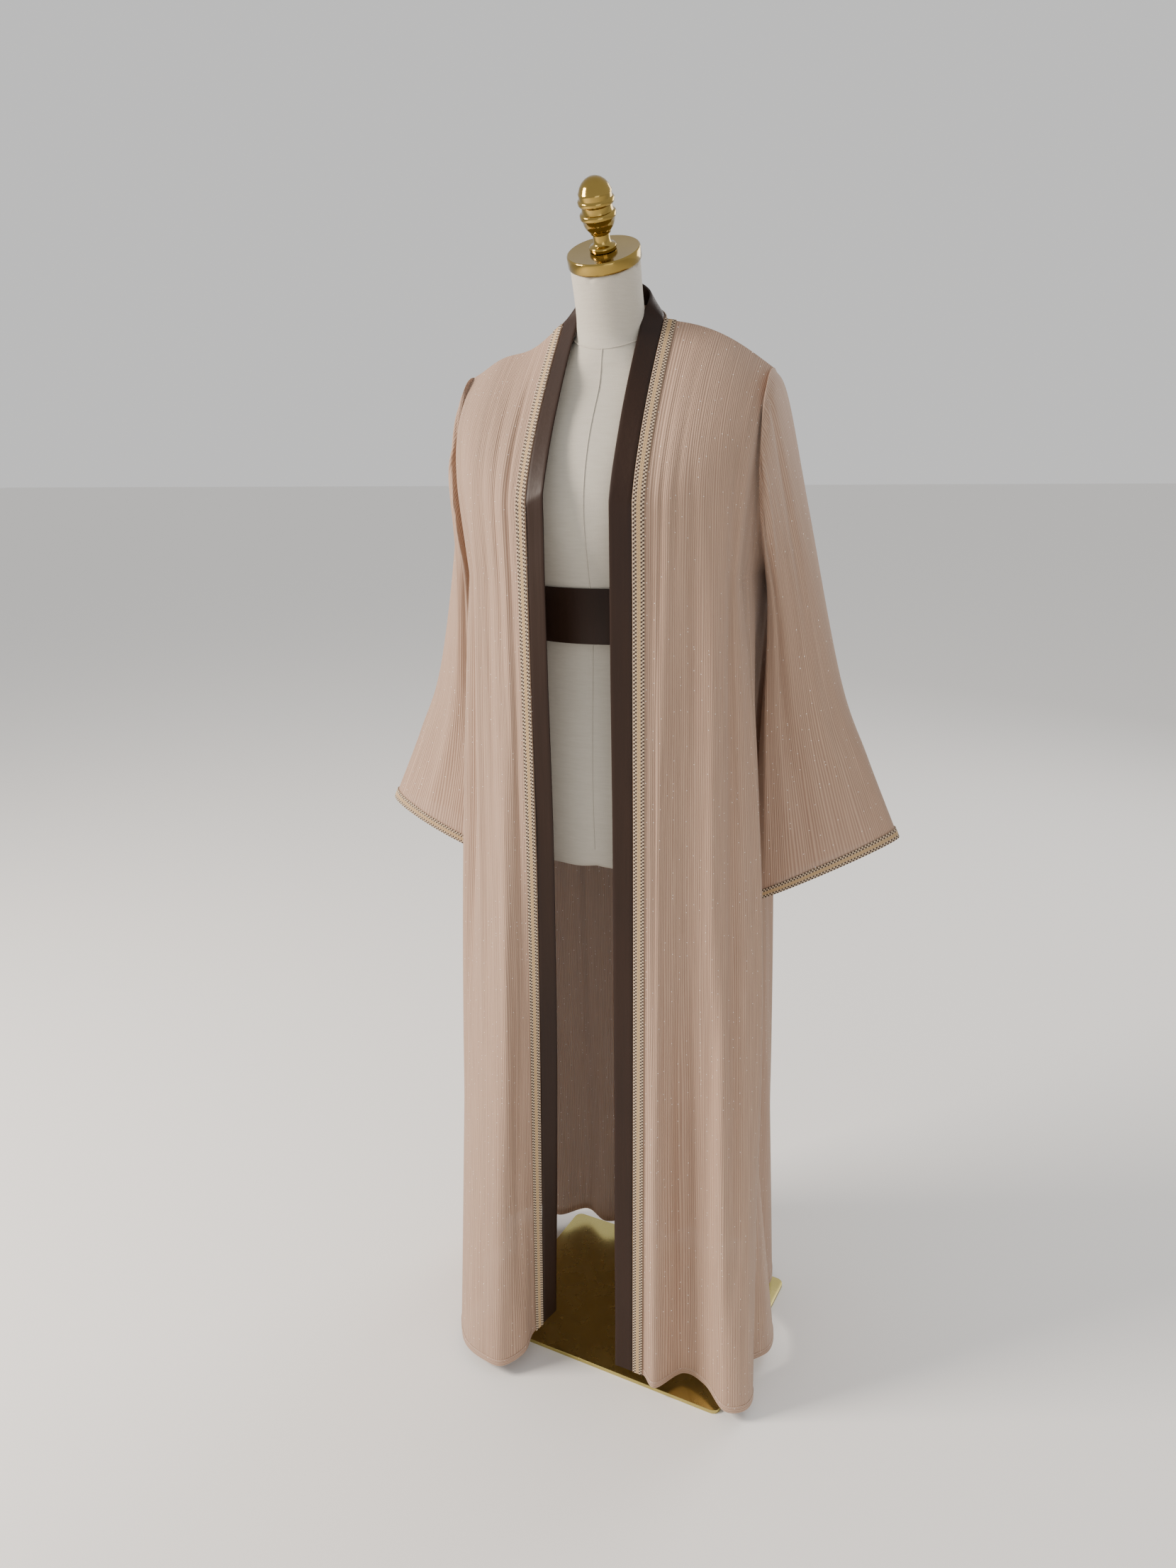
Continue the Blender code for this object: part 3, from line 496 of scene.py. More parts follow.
Fold = namedtuple("Fold", "top_line top_z foot_line foot_z width depth")
FOLDS = [
    # wearer's left front, from the braid to the side seam
    Fold(1.50, 1.44, 1.45, 1.00, 0.0030, -0.0018), Fold(2.00, 1.46, 1.90, 1.08, 0.0030, -0.0020),
    Fold(2.35, 1.40, 2.20, 0.86, 0.0060, 0.0012), Fold(2.75, 1.45, 2.60, 1.16, 0.0036, -0.0012),
    Fold(1.70, 1.12, 1.75, 0.42, 0.0046, -0.0026), Fold(2.30, 1.02, 2.45, 0.30, 0.0080, -0.0040),
    Fold(3.40, 1.34, 3.60, 0.92, 0.0060, -0.0033), Fold(4.30, 1.24, 4.45, 0.60, 0.0100, 0.0066),
    Fold(5.35, 1.36, 5.50, 0.16, 0.0100, -0.0100), Fold(6.60, 1.20, 6.70, 0.34, 0.0120, 0.0075),
    Fold(7.60, 1.24, 7.40, 0.20, 0.0100, -0.0075), Fold(8.80, 1.16, 8.60, 0.30, 0.0110, 0.0075),
    Fold(3.00, 0.70, 3.10, 0.06, 0.0130, -0.0075), Fold(4.90, 0.66, 4.90, 0.10, 0.0100, 0.0060),
    # back
    Fold(11.3, 1.16, 11.2, 0.26, 0.0110, -0.0072), Fold(12.6, 1.24, 12.7, 0.34, 0.0120, 0.0084),
    Fold(13.6, 1.36, 13.4, 0.50, 0.0090, -0.0066), Fold(14.7, 1.40, 14.4, 0.44, 0.0100, 0.0075),
    Fold(15.6, 1.42, 15.7, 0.30, 0.0120, -0.0090), Fold(16.5, 1.38, 16.6, 0.72, 0.0070, 0.0051),
    Fold(17.5, 1.44, 17.4, 0.16, 0.0100, -0.0078), Fold(18.6, 1.42, 18.4, 0.54, 0.0080, 0.0060),
    Fold(19.5, 1.36, 19.7, 0.24, 0.0100, -0.0072), Fold(20.6, 1.44, 20.4, 0.66, 0.0070, 0.0054),
    Fold(21.4, 1.40, 21.6, 0.30, 0.0120, -0.0090), Fold(22.5, 1.40, 22.8, 0.46, 0.0100, 0.0075),
    Fold(23.8, 1.36, 23.6, 0.36, 0.0100, -0.0072), Fold(25.2, 1.26, 25.4, 0.30, 0.0120, 0.0084),
    Fold(26.9, 1.14, 26.8, 0.22, 0.0110, -0.0072),
    # wearer's right front, from the side seam to the braid
    Fold(29.2, 1.16, 29.3, 0.28, 0.0110, 0.0072), Fold(30.3, 1.22, 30.5, 0.20, 0.0100, -0.0075),
    Fold(31.6, 1.32, 31.8, 0.40, 0.0110, 0.0078), Fold(32.6, 1.38, 32.5, 0.60, 0.0090, -0.0078),
    Fold(33.6, 1.36, 33.8, 0.52, 0.0090, 0.0060), Fold(34.5, 1.40, 34.7, 0.80, 0.0060, -0.0036),
    Fold(35.3, 1.44, 35.6, 1.06, 0.0036, -0.0026), Fold(35.9, 1.45, 36.1, 0.96, 0.0046, 0.0022),
    Fold(36.3, 1.46, 36.4, 1.12, 0.0032, -0.0028), Fold(36.6, 1.22, 36.3, 0.50, 0.0060, -0.0040),
    Fold(35.6, 1.00, 35.4, 0.34, 0.0090, 0.0066), Fold(36.0, 0.74, 35.9, 0.10, 0.0120, -0.0090)]

CLOTH_SHELL = 0.0006        # thickness of the shell that stands for the chiffon
BODY_ROWS, CELLS = 170, 11  # rows down the body, and cells between two drape lines
ROW_CROWDING = 1.25         # over 1, so that the rows stand closer together near the seams
BODY_GRAIN = 1.45           # length of the crinkle's pattern down the body
EASE = 0.0002               # clearance on each side of a seam


def spline(table, at):
    """Catmull-Rom curve through the rows of a table, at an array of row numbers."""
    first = np.clip(np.floor(at).astype(int), 0, len(table) - 2)
    f = (at - first)[..., None]
    ends = np.vstack([2 * table[0] - table[1], table, 2 * table[-1] - table[-2]])
    p0, p1, p2, p3 = (ends[first + k] for k in range(4))
    return 0.5 * (2 * p1 + (p2 - p0) * f + (2 * p0 - 5 * p1 + 4 * p2 - p3) * f ** 2
                  + (3 * p1 - p0 - 3 * p2 + p3) * f ** 3)


def mix(a, b, f):
    return a + (b - a) * f


def shoulder(x, shape):
    """The shoulder seam at x, from the neck point to the tip, arched and sagging a little."""
    f = (x - SHOULDER_NECK.x) / (SHOULDER_TIP.x - SHOULDER_NECK.x)
    point = mix(SHOULDER_NECK, SHOULDER_TIP, f)
    f = min(max(f, 0.0), 1.0)
    arc = math.sin(math.pi * f)
    point.z += shape.arch * arc - shape.dip * DIP_SHARE * arc * arc * math.cos(math.pi * f)
    return point


def armhole(degrees, shape):
    """The armhole seam: 0 at the shoulder tip, 90 at the front, 180 under the arm."""
    angle = math.radians(degrees)
    reach = shape.front if degrees <= 180 else ARMHOLE_BACK
    return SHOULDER_TIP - Vector((0, reach * math.sin(angle), ARMHOLE_HALF * (1 - math.cos(angle))))


def back_neck(x):
    """The back neck seam at x, a quarter ellipse from the neck point to the centre back."""
    rise = math.sqrt(max(1 - (x / SHOULDER_NECK.x) ** 2, 0))
    return Vector((x, mix(SHOULDER_NECK.y, BACK_NECK[0], rise), mix(SHOULDER_NECK.z, BACK_NECK[1], rise)))


def seam_point(line):
    """Where drape line number line starts. Lines past the centre back are on the right half."""
    side, shape = (1, LEFT_SHOULDER) if line <= CENTRE_BACK else (-1, RIGHT_SHOULDER)
    s = line if side == 1 else EDGE - line
    i = min(int(s), CENTRE_BACK - 1)
    a, b = STARTS[i], STARTS[i + 1]
    if a.seam == "neck":
        start = back_neck(mix(a.at, b.at, s - i))
    elif a.seam == b.seam == "armhole":
        start = armhole(mix(a.at, b.at, s - i), shape)
    else:
        near = SHOULDER_TIP.x if a.seam == "armhole" else a.at
        far = SHOULDER_TIP.x if b.seam == "armhole" else b.at
        start = shoulder(mix(near, far, s - i), shape)
    return (start.x * side, start.y, start.z)


def round_table(*columns):
    """One table of all 39 drape lines, from the left front edge round to the right one."""
    left = [[getattr(fall, c) for c in columns] for fall in LEFT_FALLS]
    right = [[getattr(fall, c) * (-1 if c.endswith("_x") else 1) for c in columns]
             for fall in RIGHT_FALLS[-2::-1]]
    return np.array(left + right)


CHEST = round_table("chest_x", "chest_y")
HIP = round_table("hip_x", "hip_y")
HEM = round_table("hem_x", "hem_y")
FOOT = np.hstack([round_table("hem_z"), [[start.bend] for start in STARTS + STARTS[-2::-1]]])


def drape(lines, falls):
    """The cloth without its small folds: a grid of points, falls from 0 (seam) to 1 (hem)."""
    start = np.array([seam_point(line) for line in lines])
    foot = spline(FOOT, lines)
    z = mix(start[:, 2], foot[:, 0], falls[:, None])
    chest, hip, hem = (spline(table, lines) for table in (CHEST, HIP, HEM))
    f = (z - CHEST_Z) / np.maximum(start[:, 2] - CHEST_Z, 1e-6)
    turned_in = np.clip((f - STRAIGHT) / (1 - STRAIGHT), 0, 1) ** foot[:, 1]
    above = np.stack([mix(chest[:, 0], start[:, 0], f), mix(chest[:, 1], start[:, 1], turned_in)], -1)
    upper, lower = CHEST_Z - HIP_Z, HIP_Z
    slope = 0.5 * ((hip - chest) / upper + (hem - hip) / lower)
    a = np.clip((CHEST_Z - z) / upper, 0, 1)[..., None]
    b = np.clip((HIP_Z - z) / (HIP_Z - foot[:, 0]), 0, 1)[..., None]
    to_hip = chest + (hip - chest) * a + (slope * upper - (hip - chest)) * (a ** 3 - a ** 2)
    to_hem = hip + (hem - hip) * b + (slope * lower - (hem - hip)) * b * (1 - b) ** 2
    below = np.where((z >= HIP_Z)[..., None], to_hip, to_hem)
    plan = np.where((z >= CHEST_Z)[..., None], above, below)
    return np.concatenate([plan, z[..., None]], -1)


def unit(vectors):
    return vectors / np.maximum(np.linalg.norm(vectors, axis=-1, keepdims=True), 1e-12)


def outward(points):
    """Normals of a grid whose rows run down and whose columns run round to the left and back."""
    return unit(np.cross(np.gradient(points, axis=0), np.gradient(points, axis=1)))


def folded(lines, falls):
    """The cloth with its folds: points and their outward normals."""
    points = drape(lines, falls)
    normals = outward(points)
    spacing = np.linalg.norm(np.gradient(points, axis=1), axis=-1) / np.gradient(lines)
    z = points[..., 2]
    lift = np.zeros_like(z)
    for fold in FOLDS:
        along = np.clip((fold.top_z - z) / (fold.top_z - fold.foot_z), 0, 1)
        across = (lines - mix(fold.top_line, fold.foot_line, along)) * spacing
        lift += fold.depth * np.sin(math.pi * along) ** 0.8 * np.exp(-(across / fold.width) ** 2)
    seam_hold = np.clip(falls / 0.05, 0, 1)[:, None]
    return points + normals * (lift * seam_hold)[..., None], normals


def run_along(points):
    """How far along a line of points each of them lies."""
    return np.concatenate([[0], np.cumsum(np.linalg.norm(np.diff(points, axis=0), axis=1))])


def mesh_piece(name, points, faces):
    """A new piece from any array of points, and its faces."""
    mesh = bpy.data.meshes.new(name)
    mesh.from_pydata(points.reshape(-1, 3).tolist(), [], faces)
    return linked(name, mesh)


def grain_map(piece, across, down):
    """Lays a UV map in metres on a mesh made of rows: across each row, and down the rows."""
    places = np.stack([np.tile(across, len(down)), np.repeat(down, len(across))], -1)
    corners = np.empty(len(piece.data.loops), int)
    piece.data.loops.foreach_get("vertex_index", corners)
    piece.data.uv_layers.new(name="grain").data.foreach_set("uv", places[corners].ravel())


def grid_piece(name, points, across, down, closed=False):
    """An open sheet from a grid of points, with its grain map."""
    rows, columns = points.shape[:2]
    corner = np.arange((rows - 1) * columns).reshape(rows - 1, columns)[:, :-1].ravel()
    faces = np.stack([corner, corner + columns, corner + columns + 1, corner + 1], -1)
    piece = mesh_piece(name, points, faces.tolist())
    grain_map(piece, across, down)
    if closed:
        modify(piece, "WELD", merge_threshold=0.00001)
    return piece


def crinkled_chiffon():
    """Sheer chiffon: fine crinkle ribs down the grain, with painted shade in their troughs and painted
    highlight on their ridges, and scattered specks of glitter that also glow as painted glints.
    """
    # The emission strength lights the glitter specks from within: a painted glint.
    chiffon = Finish("chiffon", Sheen_Weight=0.15, Sheen_Roughness=0.4, Emission_Strength=0.35)
    grain = chiffon.node("UVMap", {"uv_map": "grain"})
    place = chiffon.node("TexCoord", output=3)
    fine = chiffon.noise(grain, (900, 14, 1), detail=1)
    wide = chiffon.noise(grain, (210, 5, 1), detail=2)
    stretched = chiffon.node("Mapping", {}, {"Vector": grain, "Scale": (1, 0.035, 1)})
    ribs = chiffon.node(
        "TexWave", {"wave_type": "BANDS", "bands_direction": "X", "wave_profile": "SIN"},
        {"Vector": stretched, "Scale": math.tau / 20 / RIB, "Distortion": 7.0, "Detail": 1.0,
         "Detail Scale": 0.7}, output=1)
    mottle = chiffon.noise(place, (7, 7, 2.5))
    crinkle = ribs * 0.45 + fine * 0.35 + wide * 0.20
    dots = chiffon.node("TexVoronoi", {"voronoi_dimensions": "2D"}, {"Vector": grain, "Scale": GLITTER})
    chance = chiffon.node("TexVoronoi", {"voronoi_dimensions": "2D"}, {"Vector": grain, "Scale": GLITTER},
                          output=1)
    red = chiffon.node("SeparateColor", {}, {"Color": chance})
    drifts = chiffon.noise(grain, (9, 6, 1))
    # Marks the glitter specks: real white, shinier glitter, and also lit from within by emission as a
    # painted glint.
    glitter_with_painted_glint = (dots < SPECK_RADIUS * GLITTER) * (red + drifts * 0.5 > 1.06)
    tone = chiffon.blend(mottle, PINK, TAUPE)
    # Painted shade and painted highlight: the colour darkens in the crinkle's troughs and lightens on its
    # ridges, following the same crinkle that drives the relief.
    tone_with_painted_crinkle_shade = chiffon.blend(crinkle, chiffon.blend(0.72, CRINKLE_TROUGH_SHADE, tone), CRINKLE_RIDGE_HIGHLIGHT)
    chiffon.surface(
        Base_Color=chiffon.blend(glitter_with_painted_glint, tone_with_painted_crinkle_shade, dye(250, 244, 236)),
        Emission_Color=chiffon.blend(glitter_with_painted_glint, (0, 0, 0, 1), dye(255, 250, 240)),
        Roughness=0.80 - glitter_with_painted_glint * 0.5, Normal=chiffon.relief(crinkle, 0.0010),
        Alpha=crinkle * 0.26 + 0.72 + glitter_with_painted_glint)
    return chiffon.material


RIB = 0.0027                # spacing of the crinkle ribs
GLITTER = 110               # cells to the metre, some of them with a speck
SPECK_RADIUS = 0.00042
PINK, TAUPE = dye(170, 132, 114), dye(154, 126, 106)
# The darker and the paler chiffon colours on the next line are painted shade for the crinkle's troughs and
# painted highlight for its ridges.
CRINKLE_TROUGH_SHADE, CRINKLE_RIDGE_HIGHLIGHT = dye(128, 96, 78), dye(200, 169, 144)
CHIFFON = crinkled_chiffon()


def cut_panel(name, first, last, node):
    """One panel of the body, between two drape lines, just clear of its neighbours."""
    lines = np.linspace(first, last, (last - first) * CELLS + 1)
    falls = (np.arange(BODY_ROWS + 1) / BODY_ROWS) ** ROW_CROWDING
    points, normals = folded(lines, falls)
    for column, inner in ((0, 1), (-1, -2)):
        points[:, column] += unit(points[:, inner] - points[:, column]) * EASE
    points[0] += unit(points[1] - points[0]) * EASE
    piece = grid_piece(name, points, run_along(points[BODY_ROWS // 2]), falls * BODY_GRAIN)
    modify(piece, "SOLIDIFY", thickness=CLOTH_SHELL, offset=-1)
    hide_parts(node)
    complete(piece, CHIFFON, smooth=math.radians(80))
    return piece


cut_panel("front_left_chiffon", 0, SIDE, "front_left")
cut_panel("back_chiffon", SIDE, EDGE - SIDE, "back_panel")
cut_panel("front_right_chiffon", EDGE - SIDE, EDGE, "front_right")

# ---- sleeves ----
# Two wide bell sleeves of the same chiffon, cut straight at the armhole and flaring to the
# cuff. They hang empty and nearly flat, with the outer fold away from the body.

Section = namedtuple("Section", "out_x out_y out_z in_x in_y in_z front back")
LEFT_SLEEVE = [
    Section(0.2170, 0.035, 1.404, 0.2035, 0.030, 1.176, 0.087, 0.080),
    Section(0.2480, 0.046, 1.264, 0.2040, 0.030, 1.112, 0.056, 0.068),
    Section(0.2980, 0.056, 1.044, 0.1960, 0.032, 0.960, 0.034, 0.060),
    Section(0.3380, 0.066, 0.936, 0.1930, 0.034, 0.836, 0.026, 0.056),
    Section(0.3850, 0.074, 0.822, 0.1900, 0.036, 0.722, 0.022, 0.056),
]
RIGHT_SLEEVE = [
    Section(0.2120, 0.035, 1.404, 0.2035, 0.030, 1.176, 0.077, 0.080),
    Section(0.2340, 0.046, 1.264, 0.2040, 0.030, 1.120, 0.046, 0.068),
    Section(0.2820, 0.056, 1.044, 0.1960, 0.032, 0.978, 0.030, 0.060),
    Section(0.3280, 0.066, 0.936, 0.1930, 0.034, 0.862, 0.024, 0.056),
    Section(0.3830, 0.074, 0.822, 0.1900, 0.036, 0.752, 0.030, 0.050),
]
Pleat = namedtuple("Pleat", "turn low high slant width depth")
LEFT_PLEATS = [         # turn in degrees round the sleeve, 0 at the outer fold, 90 in front
    Pleat(40, 0.02, 0.62, 26, 0.0090, -0.0038), Pleat(78, 0.00, 0.46, 30, 0.0080, 0.0036),
    Pleat(112, 0.05, 0.80, -6, 0.0100, -0.0044), Pleat(66, 0.38, 0.98, -14, 0.0110, 0.0036),
    Pleat(100, 0.55, 1.00, -4, 0.0120, -0.0040), Pleat(140, 0.30, 0.95, 0, 0.0090, 0.0036),
    Pleat(205, 0.10, 0.86, 8, 0.0110, -0.0044), Pleat(240, 0.20, 0.96, -4, 0.0130, 0.0046),
    Pleat(275, 0.04, 0.70, 10, 0.0110, -0.0050), Pleat(312, 0.24, 1.00, -8, 0.0120, 0.0040)]
RIGHT_PLEATS = [
    Pleat(34, 0.04, 0.56, 22, 0.0085, -0.0034), Pleat(70, 0.00, 0.60, 20, 0.0090, 0.0038),
    Pleat(104, 0.10, 0.74, 4, 0.0080, -0.0036), Pleat(86, 0.50, 1.00, -12, 0.0120, 0.0042),
    Pleat(126, 0.44, 1.00, -4, 0.0090, -0.0034), Pleat(214, 0.08, 0.92, 6, 0.0120, 0.0046),
    Pleat(250, 0.16, 0.84, -6, 0.0110, -0.0048), Pleat(292, 0.30, 1.00, 4, 0.0120, 0.0044)]
SLEEVE_ROWS, SLEEVE_COLUMNS = 120, 176
SLEEVE_GRAIN = 0.60         # length of the crinkle's pattern down a sleeve
BRAID_WIDTH = 0.0155


def sleeve_table(sections, shape):
    armhole_row = (*SHOULDER_TIP, SHOULDER_TIP.x, SHOULDER_TIP.y, SHOULDER_TIP.z - 2 * ARMHOLE_HALF,
                   shape.front, ARMHOLE_BACK)
    return np.array([armhole_row, *sections])


def sleeve_grid(table, pleats, turns, down):
    """Points and normals of a sleeve on the wearer's left, at angles round and shares down it."""
    rows = spline(table, down * (len(table) - 1))
    outer, inner = rows[:, None, 0:3], rows[:, None, 3:6]
    reach = np.where(turns % math.tau <= math.pi, rows[:, 6:7], rows[:, 7:8])
    points = (outer + inner) / 2 + (outer - inner) / 2 * np.cos(turns)[None, :, None]
    points[..., 1] -= reach * np.sin(turns)
    normals = unit(np.cross(np.gradient(points, axis=1), np.gradient(points, axis=0)))
    ends = unit(normals[:, 0] + normals[:, -1])
    normals[:, 0] = normals[:, -1] = ends
    round_length = np.linalg.norm(np.diff(points, axis=1), axis=-1).sum(axis=1)
    lift = np.zeros(points.shape[:2])
    for pleat in pleats:
        along = np.clip((down - pleat.low) / (pleat.high - pleat.low), 0, 1)
        centre = np.radians(pleat.turn + pleat.slant * along)
        away = (turns[None, :] - centre[:, None] + math.pi) % math.tau - math.pi
        across = away * round_length[:, None] / math.tau
        lift += pleat.depth * np.sin(math.pi * along)[:, None] ** 0.8 * np.exp(-(across / pleat.width) ** 2)
    return points + normals * lift[..., None], normals


def at_side(points, side):
    """Puts a left piece's points on the left (1), or mirrors them to the right (-1)."""
    return points * np.array([side, 1, 1])


def sleeve_braid_start(table):
    """Share of the sleeve's length where the cuff braid starts."""
    last = spline(table, np.array([0.9, 1.0]) * (len(table) - 1))
    return 1 - BRAID_WIDTH * 0.1 / np.linalg.norm(last[1, :3] - last[0, :3])


sleeve_turns = np.linspace(-math.pi, math.pi, SLEEVE_COLUMNS + 1)
SLEEVES = [("left", 1, sleeve_table(LEFT_SLEEVE, LEFT_SHOULDER), LEFT_PLEATS),
           ("right", -1, sleeve_table(RIGHT_SLEEVE, RIGHT_SHOULDER), RIGHT_PLEATS)]
for name, side, table, pleats in SLEEVES:
    down = np.linspace(0, 1, SLEEVE_ROWS + 1)
    points, normals = sleeve_grid(table, pleats, sleeve_turns, down)
    points[0, :, 0] += EASE * 2
    girth = run_along(points[SLEEVE_ROWS // 2])[-1]
    across = sleeve_turns / math.tau * girth
    if side == 1:
        points = points[:, ::-1]
    sleeve = grid_piece("sleeve_" + name + "_chiffon", at_side(points, side), across, down * SLEEVE_GRAIN,
                        closed=True)
    modify(sleeve, "SOLIDIFY", thickness=CLOTH_SHELL, offset=-1)
    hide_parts("sleeve_" + name)
    complete(sleeve, CHIFFON, smooth=math.radians(80))
    "front_" + name + "_chiffon"

# ---- hems ----
# The chiffon is turned up twice at the hem and stitched down in a line of pale thread, so
# the lowest centimetre is doubled and shows as a denser edge.

HEM_DEPTH, HEM_WALL = 0.0105, 0.0005
BODY_LENGTH = 1.46          # of a drape line, from seam to hem
HEM_TOP, STITCH_LINE = 1.02, 0.88       # as shares of the hem's depth, up from the foot


def swept(name, near, far, out, wall, outline, mirror=1):
    """A strip with two long edges and a closed outline of (share across, share of the wall in)."""
    share = np.array(outline)
    points = near[:, None] + (far - near)[:, None] * share[None, :, :1] \
        - out[:, None] * share[None, :, 1:] * wall
    count, sides = points.shape[:2]
    ring = np.arange(sides)
    start = np.arange(count - 1)[:, None] * sides
    faces = np.stack([start + ring, start + (ring + 1) % sides, start + sides + (ring + 1) % sides,
                      start + sides + ring], -1).reshape(-1, 4).tolist()
    faces += [ring[::-1].tolist(), (ring + (count - 1) * sides).tolist()]
    piece = mesh_piece(name, points * [mirror, 1, 1], faces)
    width = np.linalg.norm(far - near, axis=1).mean()
    grain_map(piece, share[:, 0] * width, run_along(near))
    face_outwards(piece)
    return piece


FLAT_STRIP = [(0, 0.5), (0.03, 0), (0.25, 0), (0.5, 0), (0.75, 0), (0.97, 0), (1, 0.5),
              (0.97, 1), (0.5, 1), (0.03, 1)]
BAR = np.array([(-1, -1, 0), (1, -1, 0), (1, 1, 0), (-1, 1, 0), (-0.8, 0, 1), (0.8, 0, 1)])
BAR_FACES = [(3, 2, 1, 0), (0, 1, 5, 4), (2, 3, 4, 5), (1, 2, 5), (3, 0, 4)]


def stitches(name, places, along, up, length, width, height, mirror=1):
    """A joined mesh of raised stitches, each a small ridge lying along its own direction."""
    sideways = unit(np.cross(up, along))
    points = places[:, None] + along[:, None] * BAR[None, :, :1] * length / 2 \
        + sideways[:, None] * BAR[None, :, 1:2] * width / 2 + up[:, None] * BAR[None, :, 2:] * height
    faces = [[corner + stitch * len(BAR) for corner in face]
             for stitch in range(len(places)) for face in BAR_FACES]
    if mirror < 0:
        faces = [face[::-1] for face in faces]
    return mesh_piece(name, points * [mirror, 1, 1], faces)


def thread(name, colour, light):
    cotton = Finish(name, Sheen_Weight=0.2)
    place = cotton.node("TexCoord", output=3)
    ply = cotton.noise(place, (1400, 1400, 1400))
    cotton.surface(Base_Color=cotton.blend(ply, colour, light), Roughness=ply * 0.15 + 0.7,
                   Normal=cotton.relief(ply, 0.0003))
    return cotton.material


def evenly(points, pitch):
    """Stations spaced evenly along a run of points, as fractional row numbers."""
    run = run_along(points)
    return np.interp(np.arange(pitch / 2, run[-1], pitch), run, np.arange(len(run)))


def at_rows(values, rows):
    """Values read between the rows of a run."""
    low = np.clip(np.floor(rows).astype(int), 0, len(values) - 2)
    return mix(values[low], values[low + 1], (rows - low)[:, None])


PALE_THREAD = thread("pale_thread", dye(188, 164, 150), dye(210, 190, 176))
HEM_STITCH, HEM_PITCH = 0.0024, 0.0033
for name, first, last in (("front_left", 0, SIDE), ("back", SIDE, EDGE - SIDE),
                          ("front_right", EDGE - SIDE, EDGE)):
    lines = np.linspace(first, last, (last - first) * CELLS + 1)
    falls = 1 - HEM_DEPTH / BODY_LENGTH * np.array([HEM_TOP, STITCH_LINE, 0.0])
    points, normals = folded(lines, falls)
    lifted = points + normals * (HEM_WALL + 0.0001)
    inset = slice(1, -1)
    hem = swept("hem_" + name, lifted[2, inset], lifted[0, inset], normals[1, inset], HEM_WALL, FLAT_STRIP)
    complete(hem, CHIFFON)
    rows = evenly(lifted[1, inset], HEM_PITCH)
    along = unit(np.gradient(lifted[1, inset], axis=0))
    row = stitches("hem_stitching_" + name, at_rows(lifted[1, inset], rows), at_rows(along, rows),
                   unit(at_rows(normals[1, inset], rows)), HEM_STITCH, 0.0005, 0.00025)
    complete(row, PALE_THREAD)

# ---- front and neck bands ----
# A folded band of brown satin is sewn to each front edge and meets its pair at the centre
# back. It turns up and stands a little round the back of the neck.

BAND, BAND_WIDTH, BAND_LIFT = 0.0024, 0.0275, 0.0010
CLOTH_WALL = 0.0016
NECK_STATIONS, FRONT_STATIONS = 28, 340
BAND_OUTLINE = [(0, 0.5), (0.012, 0.16), (0.045, 0.0), (0.18, 0.02), (0.38, 0.05), (0.5, 0.06), (0.62, 0.05),
                (0.82, 0.02), (0.955, 0.0), (0.988, 0.16), (1, 0.5), (0.988, 0.84), (0.955, 1.0),
                (0.5, 0.94), (0.045, 1.0), (0.012, 0.84)]
Lie = namedtuple("Lie", "across out")   # directions across the band and out of its face
BACK_LIE = Lie(np.array([0, -0.22, 1.0]), np.array([0, 1.0, 0.22]))
NECK_LIE = Lie(np.array([-0.60, -0.05, 0.85]), np.array([0.80, 0.10, 0.80]))
TOP_OF_FRONT = np.array([-0.86, -0.10, 0.50])
BAND_BUCKLES = [        # z, half height and depth of each soft buckle in a band
    (1.372, 0.030, 0.0012), (1.255, 0.045, -0.0014), (1.060, 0.050, 0.0012), (0.872, 0.070, -0.0016),
    (0.660, 0.080, 0.0016), (0.448, 0.060, -0.0014), (0.262, 0.070, 0.0014), (0.110, 0.050, -0.0012)]


def front_edge(side, falls):
    """The cloth beside a front edge, as a left side: edge, one drape line in, and normals."""
    lines = np.linspace(0, 1, CELLS + 1) if side == 1 else np.linspace(EDGE - 1, EDGE, CELLS + 1)
    points, normals = folded(lines, falls)
    if side < 0:
        points, normals = points[:, ::-1], normals[:, ::-1]
    return at_side(points, side), at_side(normals, side)


def smoothed(values, times):
    for _ in range(times):
        values[1:-1] = (values[:-2] + 2 * values[1:-1] + values[2:]) / 4
    return unit(values)


